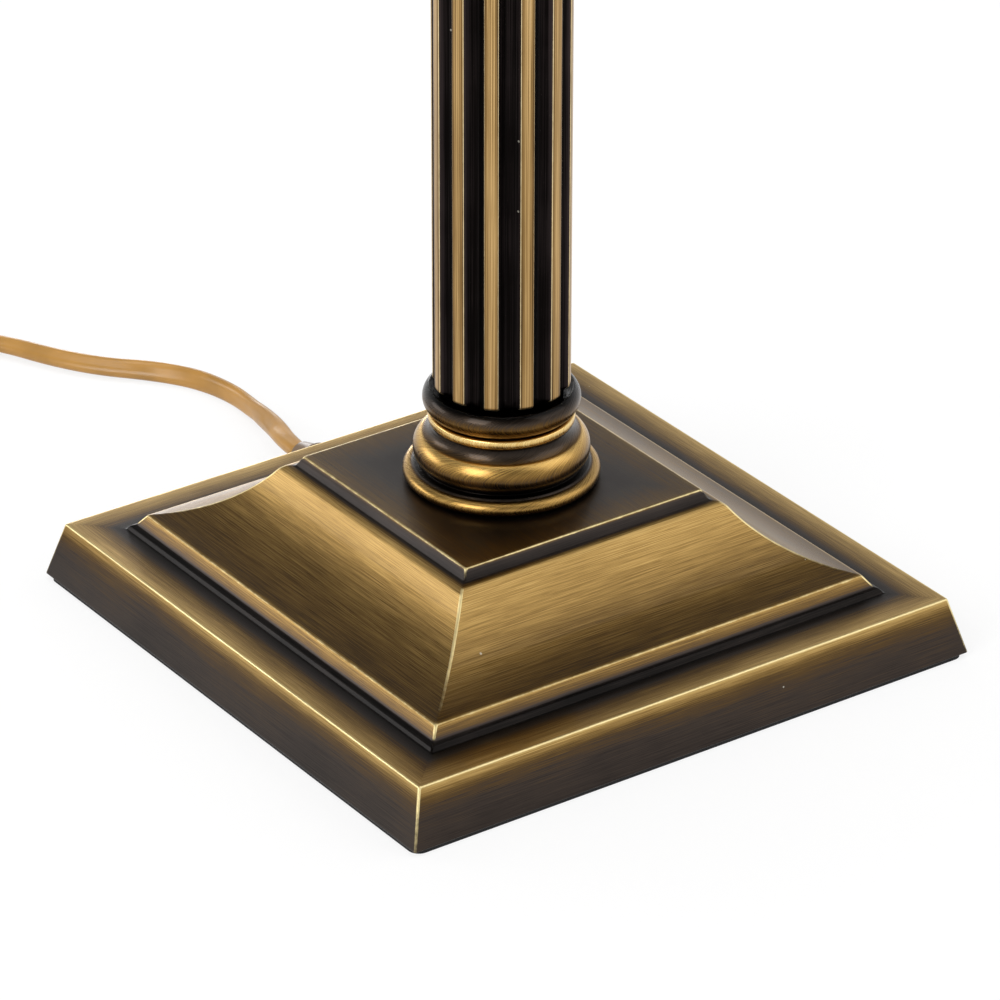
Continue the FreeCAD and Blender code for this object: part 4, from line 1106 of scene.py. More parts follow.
@dataclass(frozen=True)
class Metal:
    """A plain drawn or plated metal with faint marks.

    Attributes:
        name: The material's name.
        colour: Its colour.
        rough: Its roughness.
    """

    name: str
    colour: Colour
    rough: float = 0.3

    MARK_SCALE = 900.0
    MARKS = (0.08, 0.05 * MM)
    MOTTLE = 0.4
    ROUGH_SWING = 0.25

    def material(self, effects: Effects) -> Material:
        """Build the material.

        Args:
            effects: The shared effects.

        Returns:
            The material.
        """
        d = Draft(self.name, effects)
        grain = effects.grain.use(d.graph, Place=d.place, Scale=self.MARK_SCALE)
        return d.finished(
            (grain["Tooth"], *self.MARKS), Metallic=1.0,
            Base_Color=d.mottled(grain["Mottle"], self.colour, self.MOTTLE),
            Roughness=d.graph.swung(self.rough, grain["Tooth"], self.ROUGH_SWING))


@dataclass(frozen=True)
class Cloth:
    """A plain woven cloth with slubs, lighter where its threads stand up, with painted shade
    between them.

    Attributes:
        name: The material's name.
        colour: Its colour.
        threads: How many threads a metre has.
    """

    name: str
    colour: Colour
    threads: float = 900.0

    # How dark the painted shade between the threads is.
    SHADE_BETWEEN_THREADS = 0.55
    ON_SLUBS = 1.12
    THREADS = (0.6, 0.25 * MM)

    def material(self, effects: Effects) -> Material:
        """Build the material.

        Args:
            effects: The shared effects.

        Returns:
            The material.
        """
        d = Draft(self.name, effects)
        g = d.graph
        weave = effects.weave.use(g, Flow=d.flow(), Threads=self.threads)
        dark = tuple(self.SHADE_BETWEEN_THREADS * c for c in self.colour)
        pale = tuple(min(1.0, self.ON_SLUBS * c) for c in self.colour)
        colour = g.mixed(g.spread(weave["Slub"], 0.35, 0.65), self.colour, pale)
        # Painted shade between the threads.
        colour = g.mixed(g.spread(weave["Height"], 0.0, 0.55, 0.75, 0.0), colour, dark)
        return d.finished((weave["Height"], *self.THREADS), Base_Color=colour, Roughness=0.92,
                          Sheen_Weight=0.25, Specular_IOR_Level=0.2)


# --------------------------------------------------------------------------- the cord

def smooth_line(points: Sequence[Point], name: str) -> list[Vector]:
    """The points along a smooth line through a cord's route.

    Args:
        points: The route's control points.
        name: What the passing curve is called.

    Returns:
        The points of a NURBS spline of order 3 with those control points.
    """
    curve = bpy.data.curves.new(name, "CURVE")
    curve.dimensions = "3D"
    curve.resolution_u = 6
    spline = curve.splines.new("NURBS")
    spline.points.add(len(points) - 1)
    for target, place in zip(spline.points, points):
        target.co = (*place, 1.0)
    spline.order_u = 3
    spline.use_endpoint_u = True
    carrier = bpy.data.objects.new(name, curve)
    mesh = bpy.data.meshes.new_from_object(carrier)
    line = [v.co.copy() for v in mesh.vertices]
    bpy.data.meshes.remove(mesh)
    bpy.data.objects.remove(carrier)
    bpy.data.curves.remove(curve)
    return line


@dataclass
class MainsCord:
    """The flat twin cord, from the gland through the switch and the coil to the plug.

    Attributes:
        wide: Width of the flat cord.
        thick: Its thickness.
        length: Its real length; not used.
        tip: Where it leaves the gland.
        to_switch: The route's points as far as the switch.
        switch_ports: Where it enters and leaves the switch.
        to_coil: The route's points from the switch to the coil.
        coil_centre: The coil's middle.
        coil_start: The angle at which it starts, in degrees.
        coil_outer: The radius of its outermost turn.
        coil_inner: The radius of its innermost turn.
        coil_turns: How many turns it has, half of them in each layer.
        layers: The heights of its two layers.
        climb: Between which shares of it the cord climbs to the upper layer.
        to_plug: The route's points from the coil to the plug.
        plug: Where it enters the plug.
        twist: How the flat side turns, as distance along the cord and angle from level.
    """

    wide: float = 5.6 * MM
    thick: float = 3.4 * MM
    length: float = 1.8
    tip: Point = (0.0, 0.0929, 0.0074)
    to_switch: tuple[Point, ...] = (
        (0.0006, 0.1008, 0.0073), (0.0037, 0.1104, 0.0062), (0.0063, 0.1202, 0.0045),
        (0.0083, 0.13, 0.003), (0.0088, 0.1405, 0.0028), (0.0058, 0.1535, 0.0028),
        (-0.002, 0.165, 0.0028), (-0.012, 0.175, 0.0028), (-0.02, 0.1875, 0.0028),
        (-0.026, 0.201, 0.0028), (-0.036, 0.2145, 0.0032), (-0.051, 0.2236, 0.006),
    )
    switch_ports: tuple[Point, Point] = (
        (-0.070085, 0.224942, 0.006), (-0.139915, 0.220059, 0.006),
    )
    to_coil: tuple[Point, ...] = (
        (-0.156, 0.21893, 0.006), (-0.172, 0.211, 0.0044), (-0.183, 0.197, 0.0034),
        (-0.1873, 0.1795, 0.0034), (-0.1873, 0.163, 0.0034),
    )
    coil_centre: Pair = (-0.15, 0.15)
    coil_start: float = 178.0
    coil_outer: float = 37.4 * MM
    coil_inner: float = 26.4 * MM
    coil_turns: int = 7
    layers: Pair = (3.4 * MM, 9.0 * MM)
    climb: Pair = (0.47, 0.53)
    to_plug: tuple[Point, ...] = ((-0.1876, 0.137, 0.0084), (-0.189, 0.1235, 0.0068))
    plug: Point = (-0.189, 0.112, 0.0068)
    twist: tuple[Pair, ...] = (
        (0.0, 0.0), (0.012, 10.0), (0.035, 88.0), (0.055, 80.0), (0.085, 32.0), (0.11, 20.0),
        (0.14, 0.0), (0.17, 0.0), (0.24, 0.0), (0.27, 40.0), (0.30, 90.0), (1.66, 90.0),
        (1.72, 30.0), (1.80, 0.0),
    )

    POINTS_A_TURN = 16
    SECTION_STEPS = 28
    FULLNESS = (0.86, 0.8)
    GROOVE_DEPTH = 0.1
    GROOVE_WIDE = 0.6 * MM
    PIECES = ("switch_base", "switch_cover", "switch_screws", "switch_rocker", "plug_body",
              "plug_pins", "pin_sleeves", "coil_tie")

    def route(self) -> list[Point]:
        """All the control points, with the coil's turns worked out."""
        return [self.tip, *self.to_switch, *self.switch_ports, *self.to_coil,
                *self._coil(), *self.to_plug, self.plug]

    def _coil(self) -> list[Point]:
        """Wind the coil: inwards on the lower layer, then outwards on the upper one.

        Returns:
            Its control points.
        """
        x, y = self.coil_centre
        low, high = self.layers
        count = self.coil_turns * self.POINTS_A_TURN
        # The spline cuts inside its control points, so these stand a little further out.
        outside = 1 / math.cos(math.pi / self.POINTS_A_TURN)
        made = []
        for k in range(1, count + 1):
            share = k / count
            inward = 1 - abs(2 * share - 1)
            r = (self.coil_outer + inward * (self.coil_inner - self.coil_outer)) * outside
            turn = math.radians(self.coil_start) + 2 * math.pi * self.coil_turns * share
            made.append((x + r * math.cos(turn), y + r * math.sin(turn),
                         low + (high - low) * self._climbed(share)))
        return made

    def _climbed(self, share: float) -> float:
        """How far the coil has climbed to its upper layer."""
        ramp = min(1.0, max(0.0, (share - self.climb[0]) / (self.climb[1] - self.climb[0])))
        return ramp * ramp * (3 - 2 * ramp)

    def _section(self) -> list[Pair]:
        """Draw the flat cord's section: two round cores with a shallow groove between.

        Returns:
            The section's places across the cord and through it.
        """
        made = []
        for k in range(self.SECTION_STEPS):
            turn = 2 * math.pi * k / self.SECTION_STEPS
            axes = zip((self.wide, self.thick), (math.cos(turn), math.sin(turn)), self.FULLNESS)
            x, y = (size / 2 * math.copysign(abs(part) ** power, part)
                    for size, part, power in axes)
            groove = 1 - self.GROOVE_DEPTH * math.exp(-(x / self.GROOVE_WIDE) ** 2)
            made.append((x, y * groove))
        return made

    def _tilt(self, travelled: float) -> float:
        """How far the flat side is turned up from level there."""
        return math.radians(float(np.interp(travelled, *zip(*self.twist))))

    def build(self, material: Material) -> Piece:
        """Args:
            material: Its soft plastic.

        Returns:
            The cord.
        """
        line = smooth_line(self.route(), "cord_line")
        section = self._section()
        skin = Skin()
        travelled = 0.0
        for i, here in enumerate(line):
            before, after = line[max(i - 1, 0)], line[min(i + 1, len(line) - 1)]
            travelled += (here - before).length
            ahead = (after - before).normalized()
            level = ahead.cross(Vector((0, 0, 1))).normalized()
            up = level.cross(ahead).normalized()
            tilt = self._tilt(travelled)
            across = level * math.cos(tilt) + up * math.sin(tilt)
            rise = up * math.cos(tilt) - level * math.sin(tilt)
            for x, y in section:
                skin.point(here + across * x + rise * y, abs(x) / (self.wide / 2), travelled)
        wide = len(section)
        along = skin.values["edge"]
        for _, j, (a, b, c, d) in skin.net(len(line), wide, closed=False):
            skin.face((a, d, c, b), [(along[a], j / wide), (along[d], j / wide),
                                     (along[d], (j + 1) / wide), (along[a], (j + 1) / wide)])
        last = (len(line) - 1) * wide
        for end in (range(wide), range(last, last + wide)[::-1]):
            skin.face(end, [(0.0, 0.0)] * wide)
        cord = dressed(skin.made("mains_cord"), "root", material,
                       "cord_to_switch", "cord_to_coil", "cord_to_plug", "cord_coil")
        return cord


# ------------------------------------------------------------------- base and column

@dataclass
class SquareBase:
    """The hollow stepped casting: plinth, small foot, lip, cove, ledge and top plate.

    Its widths are halves.  The foot is the step under the lip, and the hole takes the
    threaded tube.
    """

    low: float = 1.2
    plinth_bottom: float = 84.9
    plinth_top: float = 80.8
    plinth_z: float = 16.3
    foot: float = 69.3
    foot_rise: float = 1.5
    lip_bottom: float = 67.6
    lip_top: float = 65.4
    lip_z: float = 20.9
    cove_top: float = 39.7
    cove_z: float = 38.6
    cove_depth: float = 2.9
    ledge: float = 37.7
    plate: float = 36.2
    plate_z: float = 41.7
    wall: float = 4.0
    roof: float = 5.0
    hole: float = TUBE_HOLE

    ROUND_OFF = 0.28
    HIDDEN_TONE = 0.1

    def _up_the_plinth(self, share: float, tone: float, wear: float = 0.0) -> Run:
        """A place on the plinth's sloping side, a share of the way up."""
        return Run(self.plinth_bottom + share * (self.plinth_top - self.plinth_bottom),
                   self.low + share * (self.plinth_z - self.low), tone, wear)

    def outline(self) -> Outline:
        """Draw the section, with a tone at each point: rubbed patina and edge wear, together with
        painted shade and light.

        Returns:
            The outline.
        """
        inside = self.plinth_z - self.wall
        ceiling = self.plate_z - self.roof
        under_lip = self.plinth_z + self.foot_rise
        hidden = [Run(r, z, self.HIDDEN_TONE) for r, z in (
            (self.hole, ceiling), (self.cove_top - self.wall, ceiling),
            (self.lip_top - self.wall, self.lip_z - self.wall),
            (self.lip_top - self.wall, inside), (self.plinth_top - self.wall, inside))]
        return Outline((
            Run(self.plinth_bottom - self.wall, self.low, self.HIDDEN_TONE),
            # The plinth's side is darker towards the bottom: painted shade.
            self._up_the_plinth(0.0, 0.15),
            self._up_the_plinth(0.5, 0.19),
            self._up_the_plinth(0.78, 0.31, 1.0),
            Run(self.plinth_top, self.plinth_z, 0.78, 1.0),
            Run(self.plinth_top - 1.4, self.plinth_z, 0.72, 1.0),
            Run(self.plinth_top - 3.6, self.plinth_z, 0.58),
            # The plinth's top darkens into the recess under the lip: dark patina with painted
            # shade.
            Run(self.foot + 5.0, self.plinth_z, 0.4),
            Run(self.foot + 2.4, self.plinth_z, 0.14),
            Run(self.foot, self.plinth_z, 0.01),
            Run(self.lip_bottom, under_lip, 0.02, rise=-0.4),
            # The lip's side is painted lighter, a painted reflection, with wear at its top edge.
            Run(self.lip_bottom - 0.4, under_lip + 0.6, 0.28),
            Run(self.lip_top + 0.4, self.lip_z - 0.6, 0.42, 0.8),
            Run(self.lip_top, self.lip_z, 0.7, 1.0),
            Run(self.lip_top - 0.8, self.lip_z + 0.2, 0.32, 0.8),
            # The cove is lighter towards its top: painted light.
            Run(self.cove_top + 1.2, self.cove_z - 0.95, 0.58, rise=self.cove_depth - 0.15),
            Run(self.cove_top, self.cove_z, 0.66, 0.75),
            # The ledge under the plate is near black: dark patina with painted shade.
            Run(self.ledge, self.cove_z + 0.3, 0.04),
            Run(self.plate + 0.3, self.plate_z - 0.6, 0.13, 0.5),
            Run(self.plate, self.plate_z, 0.5, 1.0),
            Run(self.plate - 1.0, self.plate_z, 0.34, 0.6),
            # The plate darkens towards the collar: a painted shadow of the collar.
            Run(self.plate - 5.0, self.plate_z, 0.26),
            Run(self.plate - 13.0, self.plate_z, 0.16),
            Run(self.hole, self.plate_z, 0.08),
            *hidden,
        ))

    def build(self, material: Material) -> Piece:
        """Make the casting.

        Args:
            material: What it is made of.

        Returns:
            The casting.
        """
        sweep = SquareSweep(top_half=self.plate * MM)
        skin = sweep.skin(self.outline().softened(self.ROUND_OFF))
        return dressed(skin.made("stepped_base"), "root", material, "base_shell")


@dataclass(frozen=True)
class CollarTorus:
    """The fat half-round of the turned collar, from its middle and its bend.

    Attributes:
        r: Distance of the bend's middle from the axis.
        z: Height of the bend's middle.
        bend: Radius of the bend.
        low: Angle at which it starts.
        high: Angle at which it ends.
    """

    r: float = 17.6
    z: float = 8.3
    bend: float = 4.9
    low: float = math.radians(-52.0)
    high: float = math.radians(57.0)

    def place(self, turn: float) -> Pair:
        """A place on the torus."""
        return self.r + self.bend * math.cos(turn), self.z + self.bend * math.sin(turn)

    def runs(self) -> tuple[Run, ...]:
        """Draw the torus.

        Returns:
            The runs that start, go over and leave it.
        """
        rise = -self.bend * (1 - math.cos((self.high - self.low) / 4))
        top_r, top_z = self.place(self.high)
        # The torus is painted near black at its foot and bright near its top: painted shade and
        # light, with rubbing at the top.
        return (Run(*self.place(self.low), 0.03),
                Run(*self.place((self.low + self.high) / 2), 0.3, rise=rise),
                Run(top_r, top_z, 0.85, rise=rise),
                Run(top_r - 0.4, top_z, 0.3))


COLLAR_HIGH = 18.3
# Half-round ring, hollow, torus, hollow neck and bright fillet. Dark patina fills the hollows,
# and each round is painted darker below and lighter on its upper side, as the lower collar
# stands: painted shade and light.
COLLAR = Outline((
    Run(TUBE_HOLE, 0.0, 0.1), Run(23.25, 0.0, 0.1), Run(25.1, 1.85, 0.5, rise=-0.5419),
    Run(23.25, 3.7, 0.72, rise=-0.5419), Run(22.9, 3.7, 0.25),
    Run(22.4, 4.2, 0.03, rise=0.15),
    *CollarTorus().runs(), Run(18.1, 15.8, 0.02, rise=0.55), Run(18.5, 16.2, 0.8),
    Run(18.5, 18.15, 0.95, rise=-0.15), Run(17.8, COLLAR_HIGH, 0.3),
    Run(TUBE_HOLE, COLLAR_HIGH, 0.1),
))
# The dished cup that takes the column's end, with its locating boss. Its foot is painted lighter
# as a painted sheen, and its rim and dish near black as painted shade.
CUP = Outline((
    Run(TUBE_HOLE, 0.0, 0.1), Run(17.3, 0.0, 0.08), Run(17.9, 0.6, 0.76),
    Run(18.2, 7.0, -0.1, rise=-1.95), Run(17.3, 5.9, 0.0), Run(15.35, 5.4, 0.0),
    Run(15.35, 3.4, 0.0), Run(13.15, 3.4, 0.1), Run(13.15, 6.4, 0.1),
    Run(TUBE_HOLE, 6.4, 0.1),
))
ABACUS_HIGH = 9.0
# The small square plate over the upper collar.
ABACUS = Outline((
    Run(TUBE_HOLE, 0.0, 0.1), Run(29.5, 0.0, 0.2), Run(32.5, 3.6, 0.36, rise=-0.5),
    Run(32.5, 7.0, 0.62, 1.0), Run(30.7, ABACUS_HIGH, 0.5, 1.0),
    Run(22.0, ABACUS_HIGH, 0.22), Run(TUBE_HOLE, ABACUS_HIGH, 0.08),
))
FINIAL_HIGH = 16.0
# The turned neck under the lampholder, with a foot, a waist and a bead.
FINIAL = Outline((
    Run(TUBE_HOLE, 0.0, 0.1), Run(17.0, 0.0, 0.1), Run(17.0, 2.0, 0.7, rise=-0.8),
    Run(14.6, 2.3, 0.05), Run(8.4, 11.0, 0.3, rise=1.6), Run(8.4, 12.8, 0.04),
    Run(10.1, 12.8, 0.2), Run(10.1, FINIAL_HIGH, 0.75, rise=-1.45),
    Run(TUBE_HOLE, FINIAL_HIGH, 0.1),
))
# The lampholder's flared cap.
HOLDER_CAP = Outline((
    Run(4.95, 0.0, 0.1), Run(9.0, 0.0, 0.3), Run(20.6, 14.0, 0.5, rise=3.0),
    Run(20.6, 16.0, 0.75), Run(19.3, 16.0, 0.3), Run(19.3, 14.0, 0.1),
    Run(7.8, 8.0, 0.1, rise=-2.4), Run(4.95, 8.0, 0.1),
))


@dataclass
class TurnedPiece:
    """A piece turned on the lathe, standing on the column's axis.

    Attributes:
        name: Its name, which is its node's as well.
        outline: Its section, measured from its own foot.
        foot: The height of its foot.
        turned_over: Whether it hangs upside down from that height.
        slant: How far its brush marks lean.
    """

    name: str
    outline: Outline
    foot: float
    turned_over: bool = False
    slant: float = 0.8

    STEPS = 180
    ROUND_OFF = 0.2

    def build(self, material: Material) -> Piece:
        """Make the piece.

        Args:
            material: What it is made of.

        Returns:
            The piece.
        """
        skin = turned_skin(self.outline.softened(self.ROUND_OFF), self.STEPS, self.slant)
        return dressed(skin.raised(self.foot, self.turned_over).made(self.name), "root",
                       material, self.name)


@dataclass
class SquarePlate:
    """The square plate on the column's head, brushed along its sides.

    Attributes:
        foot: The height of its underside.
        flat_half: Half the width of its level top.
    """

    foot: float = 329.5
    flat_half: float = 22.0

    ROUND_OFF = 0.25

    def build(self, material: Material) -> Piece:
        """Make the plate.

        Args:
            material: What it is made of.

        Returns:
            The plate.
        """
        skin = SquareSweep(top_half=self.flat_half * MM).skin(ABACUS.softened(self.ROUND_OFF))
        return dressed(skin.raised(self.foot).made("square_abacus"), "root", material, "abacus")


@dataclass
class FlutedColumn:
    """The fluted tube, whose flat ribs stop short of both cups.

    Attributes:
        radius: Outside radius, over the ribs.
        core: Radius at the bottom of the flutes.
        bore: Radius of the hole.
        ribs: How many ribs it has.
        rib_wide: Width of one rib.
        rib_low: Height at which the ribs start.
        rib_high: Height at which they end.
        low: Height of the lower end.
        high: Height of the upper end.
        end_round: Radius of the ribs' rounded ends.
        first_rib: Angle of the first rib, in degrees.
        corner: How far the ribs' long edges are eased.
    """

    radius: float = 17.42
    core: float = 15.2
    bore: float = 13.3
    ribs: int = 12
    rib_wide: float = 3.7
    rib_low: float = 67.6
    rib_high: float = 303.6
    low: float = 63.4
    high: float = 307.8
    end_round: float = 1.0
    first_rib: float = 16.2
    corner: float = 0.28

    TOP_STEPS = 6
    FLUTE_STEPS = 10
    END_STEPS = 5
    LENGTH_STEPS = 24
    END_START = 0.35
    END_GAP = 0.4
    CORE_PLAY = 0.02
    EDGE_TURN = 0.35
    EDGE_DROP = 0.3
    # Each rib is painted lighter in its middle and darker at its sides, and each flute darker
    # towards its bottom: painted shade.
    RIB_PAINTED_SHADING = (0.68, 0.3, 2.5)
    FLUTE_PAINTED_SHADE = (0.18, 6)
    SIDE_TONE = 0.15
    EDGE_TONE = 0.66
    BORE_TONE = 0.05

    def section(self) -> list[Corner]:
        """Draw one turn of the section.

        Returns:
            Each point's angle, radius, tone and edge.
        """
        half = math.asin(self.rib_wide / 2 / self.radius)
        pitch = 2 * math.pi / self.ribs
        eased = self.corner / self.radius
        rim = self.radius - self.corner
        edge = (self.radius - self.EDGE_DROP * self.corner, self.EDGE_TONE, 1.0)
        bright, fade, rib_power = self.RIB_PAINTED_SHADING
        dull, flute_power = self.FLUTE_PAINTED_SHADE
        made: list[Corner] = []
        for k in range(self.ribs):
            middle = math.radians(self.first_rib) + k * pitch
            start, end = middle + half, middle + pitch - half
            # Painted shade: the rib darkens towards its sides, then the flute towards its bottom.
            for j in range(self.TOP_STEPS + 1):
                share = 2 * j / self.TOP_STEPS - 1
                made.append((middle + share * (half - eased), self.radius,
                             bright - fade * abs(share) ** rib_power, 0.0))
            made.append((start - self.EDGE_TURN * eased, *edge))
            made.append((start, rim, self.SIDE_TONE, 0.0))
            for j in range(1, self.FLUTE_STEPS):
                share = j / self.FLUTE_STEPS
                dip = (rim - self.core) * (1 - (2 * share - 1) ** 2)
                made.append((start + share * (pitch - 2 * half), rim - dip,
                             dull * abs(2 * share - 1) ** flute_power, 0.0))
            made.append((end, rim, self.SIDE_TONE, 0.0))
            made.append((end + self.EDGE_TURN * eased, *edge))
        return made

    def levels(self) -> list[Point]:
        """Set out the rings of the skin, upwards.

        Returns:
            Each ring's height, the ribs' reach from 0 to 1, and their ends' shine.
        """
        rise, least = self.end_round, self.END_START
        foot = [(self.low, 0.0, 0.0), (self.rib_low - 0.01, 0.0, 0.0), (self.rib_low, least, 0.0)]
        for k in range(1, self.END_STEPS + 1):
            turn = k / self.END_STEPS * math.pi / 2
            foot.append((self.rib_low + rise * (1 - math.cos(turn)),
                         least + (1 - least) * math.sin(turn), math.sin(2 * turn)))
        start = self.rib_low + rise + self.END_GAP
        step = (self.rib_high - rise - self.END_GAP - start) / self.LENGTH_STEPS
        shaft = [(start + step * k, 1.0, 0.0) for k in range(self.LENGTH_STEPS + 1)]
        head = [(self.low + self.high - z, reach, shine) for z, reach, shine in foot]
        return foot + shaft + head[::-1]

    def build(self, material: Material) -> Piece:
        """Make the column.

        Args:
            material: What it is made of.

        Returns:
            The column.
        """
        skin = Skin()
        section, rings = self.section(), self.levels()
        core = self.core + self.CORE_PLAY
        for z, reach, shine in rings:
            for turn, r, tone, edge in section:
                here = core + max(0.0, r - core) * reach
                worn = max(edge * (reach == 1.0), shine * (r > self.radius - self.END_GAP))
                # The tone falls with the ribs' reach, so their rounded ends and the bare core
                # darken like the flutes: painted shade.
                skin.point((here * math.cos(turn) * MM, here * math.sin(turn) * MM, z * MM),
                           tone * reach, worn)
        for z in (self.high, self.low):
            for turn, *_ in section:
                skin.point((self.bore * math.cos(turn) * MM, self.bore * math.sin(turn) * MM,
                            z * MM), self.BORE_TONE)
        rounds = [turn * self.radius * MM for turn, *_ in section]
        rounds.append(rounds[0] + 2 * math.pi * self.radius * MM)
        for _, j, corners in skin.net(len(rings) + 2, len(section)):
            across = (rounds[j], rounds[j + 1], rounds[j + 1], rounds[j])
            skin.face(corners, [(skin.points[c][2], v) for c, v in zip(corners, across)])
        return dressed(skin.made("fluted_column"), "root", material, "column_tube")


@dataclass
class ShadeCover:
    """The woven cover of the shade, with a turned hem at each end and one glued seam.

    Attributes:
        foot: Height of its lower edge.
        high: Its own height.
        wide_r: Radius of its lower edge.
        narrow_r: Radius of its upper edge.
        thick: How thick it is.
        hem: How high each hem is.
        hem_proud: How far a hem stands proud.
        hem_end: Over what height a hem's edge falls back.
        seam_steps: How many steps of the turn the seam is wide.
        seam_proud: How far the seam stands proud.
    """

    foot: float = 346.5
    high: float = 190.0
    wide_r: float = 150.0
    narrow_r: float = 82.0
    thick: float = 0.7
    hem: float = 9.0
    hem_proud: float = 0.35
    hem_end: float = 0.4
    seam_steps: int = 3
    seam_proud: float = 0.3

    STEPS = 300
    ROUND_OFF = 0.12

    def _at(self, up: float, tone: float, proud: float = 0.0) -> Run:
        """A place on the cover at a height over its foot."""
        radius = self.wide_r + (self.narrow_r - self.wide_r) * up / self.high
        return Run(radius + proud, up, tone)

    def outline(self) -> Outline:
        """Draw the cone's section, plain in the middle and thicker at its hems.

        Returns:
            The outline.
        """
        top, upper_hem = self.high, self.high - self.hem
        return Outline((
            self._at(0, 0.5, -self.thick),
            self._at(0, 0.45),
            self._at(self.hem, 0.45, self.hem_proud),
            self._at(self.hem + self.hem_end, 0.3),
            self._at(top / 2, 0.55),
            self._at(upper_hem - self.hem_end, 0.3),
            self._at(upper_hem, 0.45, self.hem_proud),
            self._at(top, 0.45),
            self._at(top, 0.5, -self.thick),
        ))

    def build(self, material: Material) -> Piece:
        """Make the cover.

        Args:
            material: Its cloth.

        Returns:
            The cover.
        """
        skin = turned_skin(self.outline().softened(self.ROUND_OFF), self.STEPS)
        first = self.STEPS // 4
        for i, (x, y, z) in enumerate(skin.points):
            # The overlap of the seam stands a little proud, on the cord's side.
            if first <= i % self.STEPS < first + self.seam_steps:
                share = 1 + self.seam_proud * MM / math.hypot(x, y)
                skin.points[i] = (x * share, y * share, z)
        cover = dressed(skin.raised(self.foot).made("woven_cover"), "shade", material,
                        "shade_cover")
        return cover


# --------------------------------------------------------------------------- the studio

@dataclass(frozen=True)
class Softbox:
    """One soft lamp.

    Attributes:
        name: Its name.
        place: Where it hangs.
        aim: The height on the lamp's axis that it faces.
        size: Its width and height.
        watts: Its power.
    """

    name: str
    place: Point
    aim: float
    size: Pair
    watts: float

    def hang(self) -> None:
        """Put it in the scene."""
        data = bpy.data.lights.new(self.name, "AREA")
        data.shape = "RECTANGLE"
        data.size, data.size_y = self.size
        data.energy = self.watts
        lamp = shown(self.name, data)
        lamp.location = self.place
        facing = Vector((0, 0, self.aim)) - Vector(self.place)
        lamp.rotation_euler = facing.to_track_quat("-Z", "Y").to_euler()


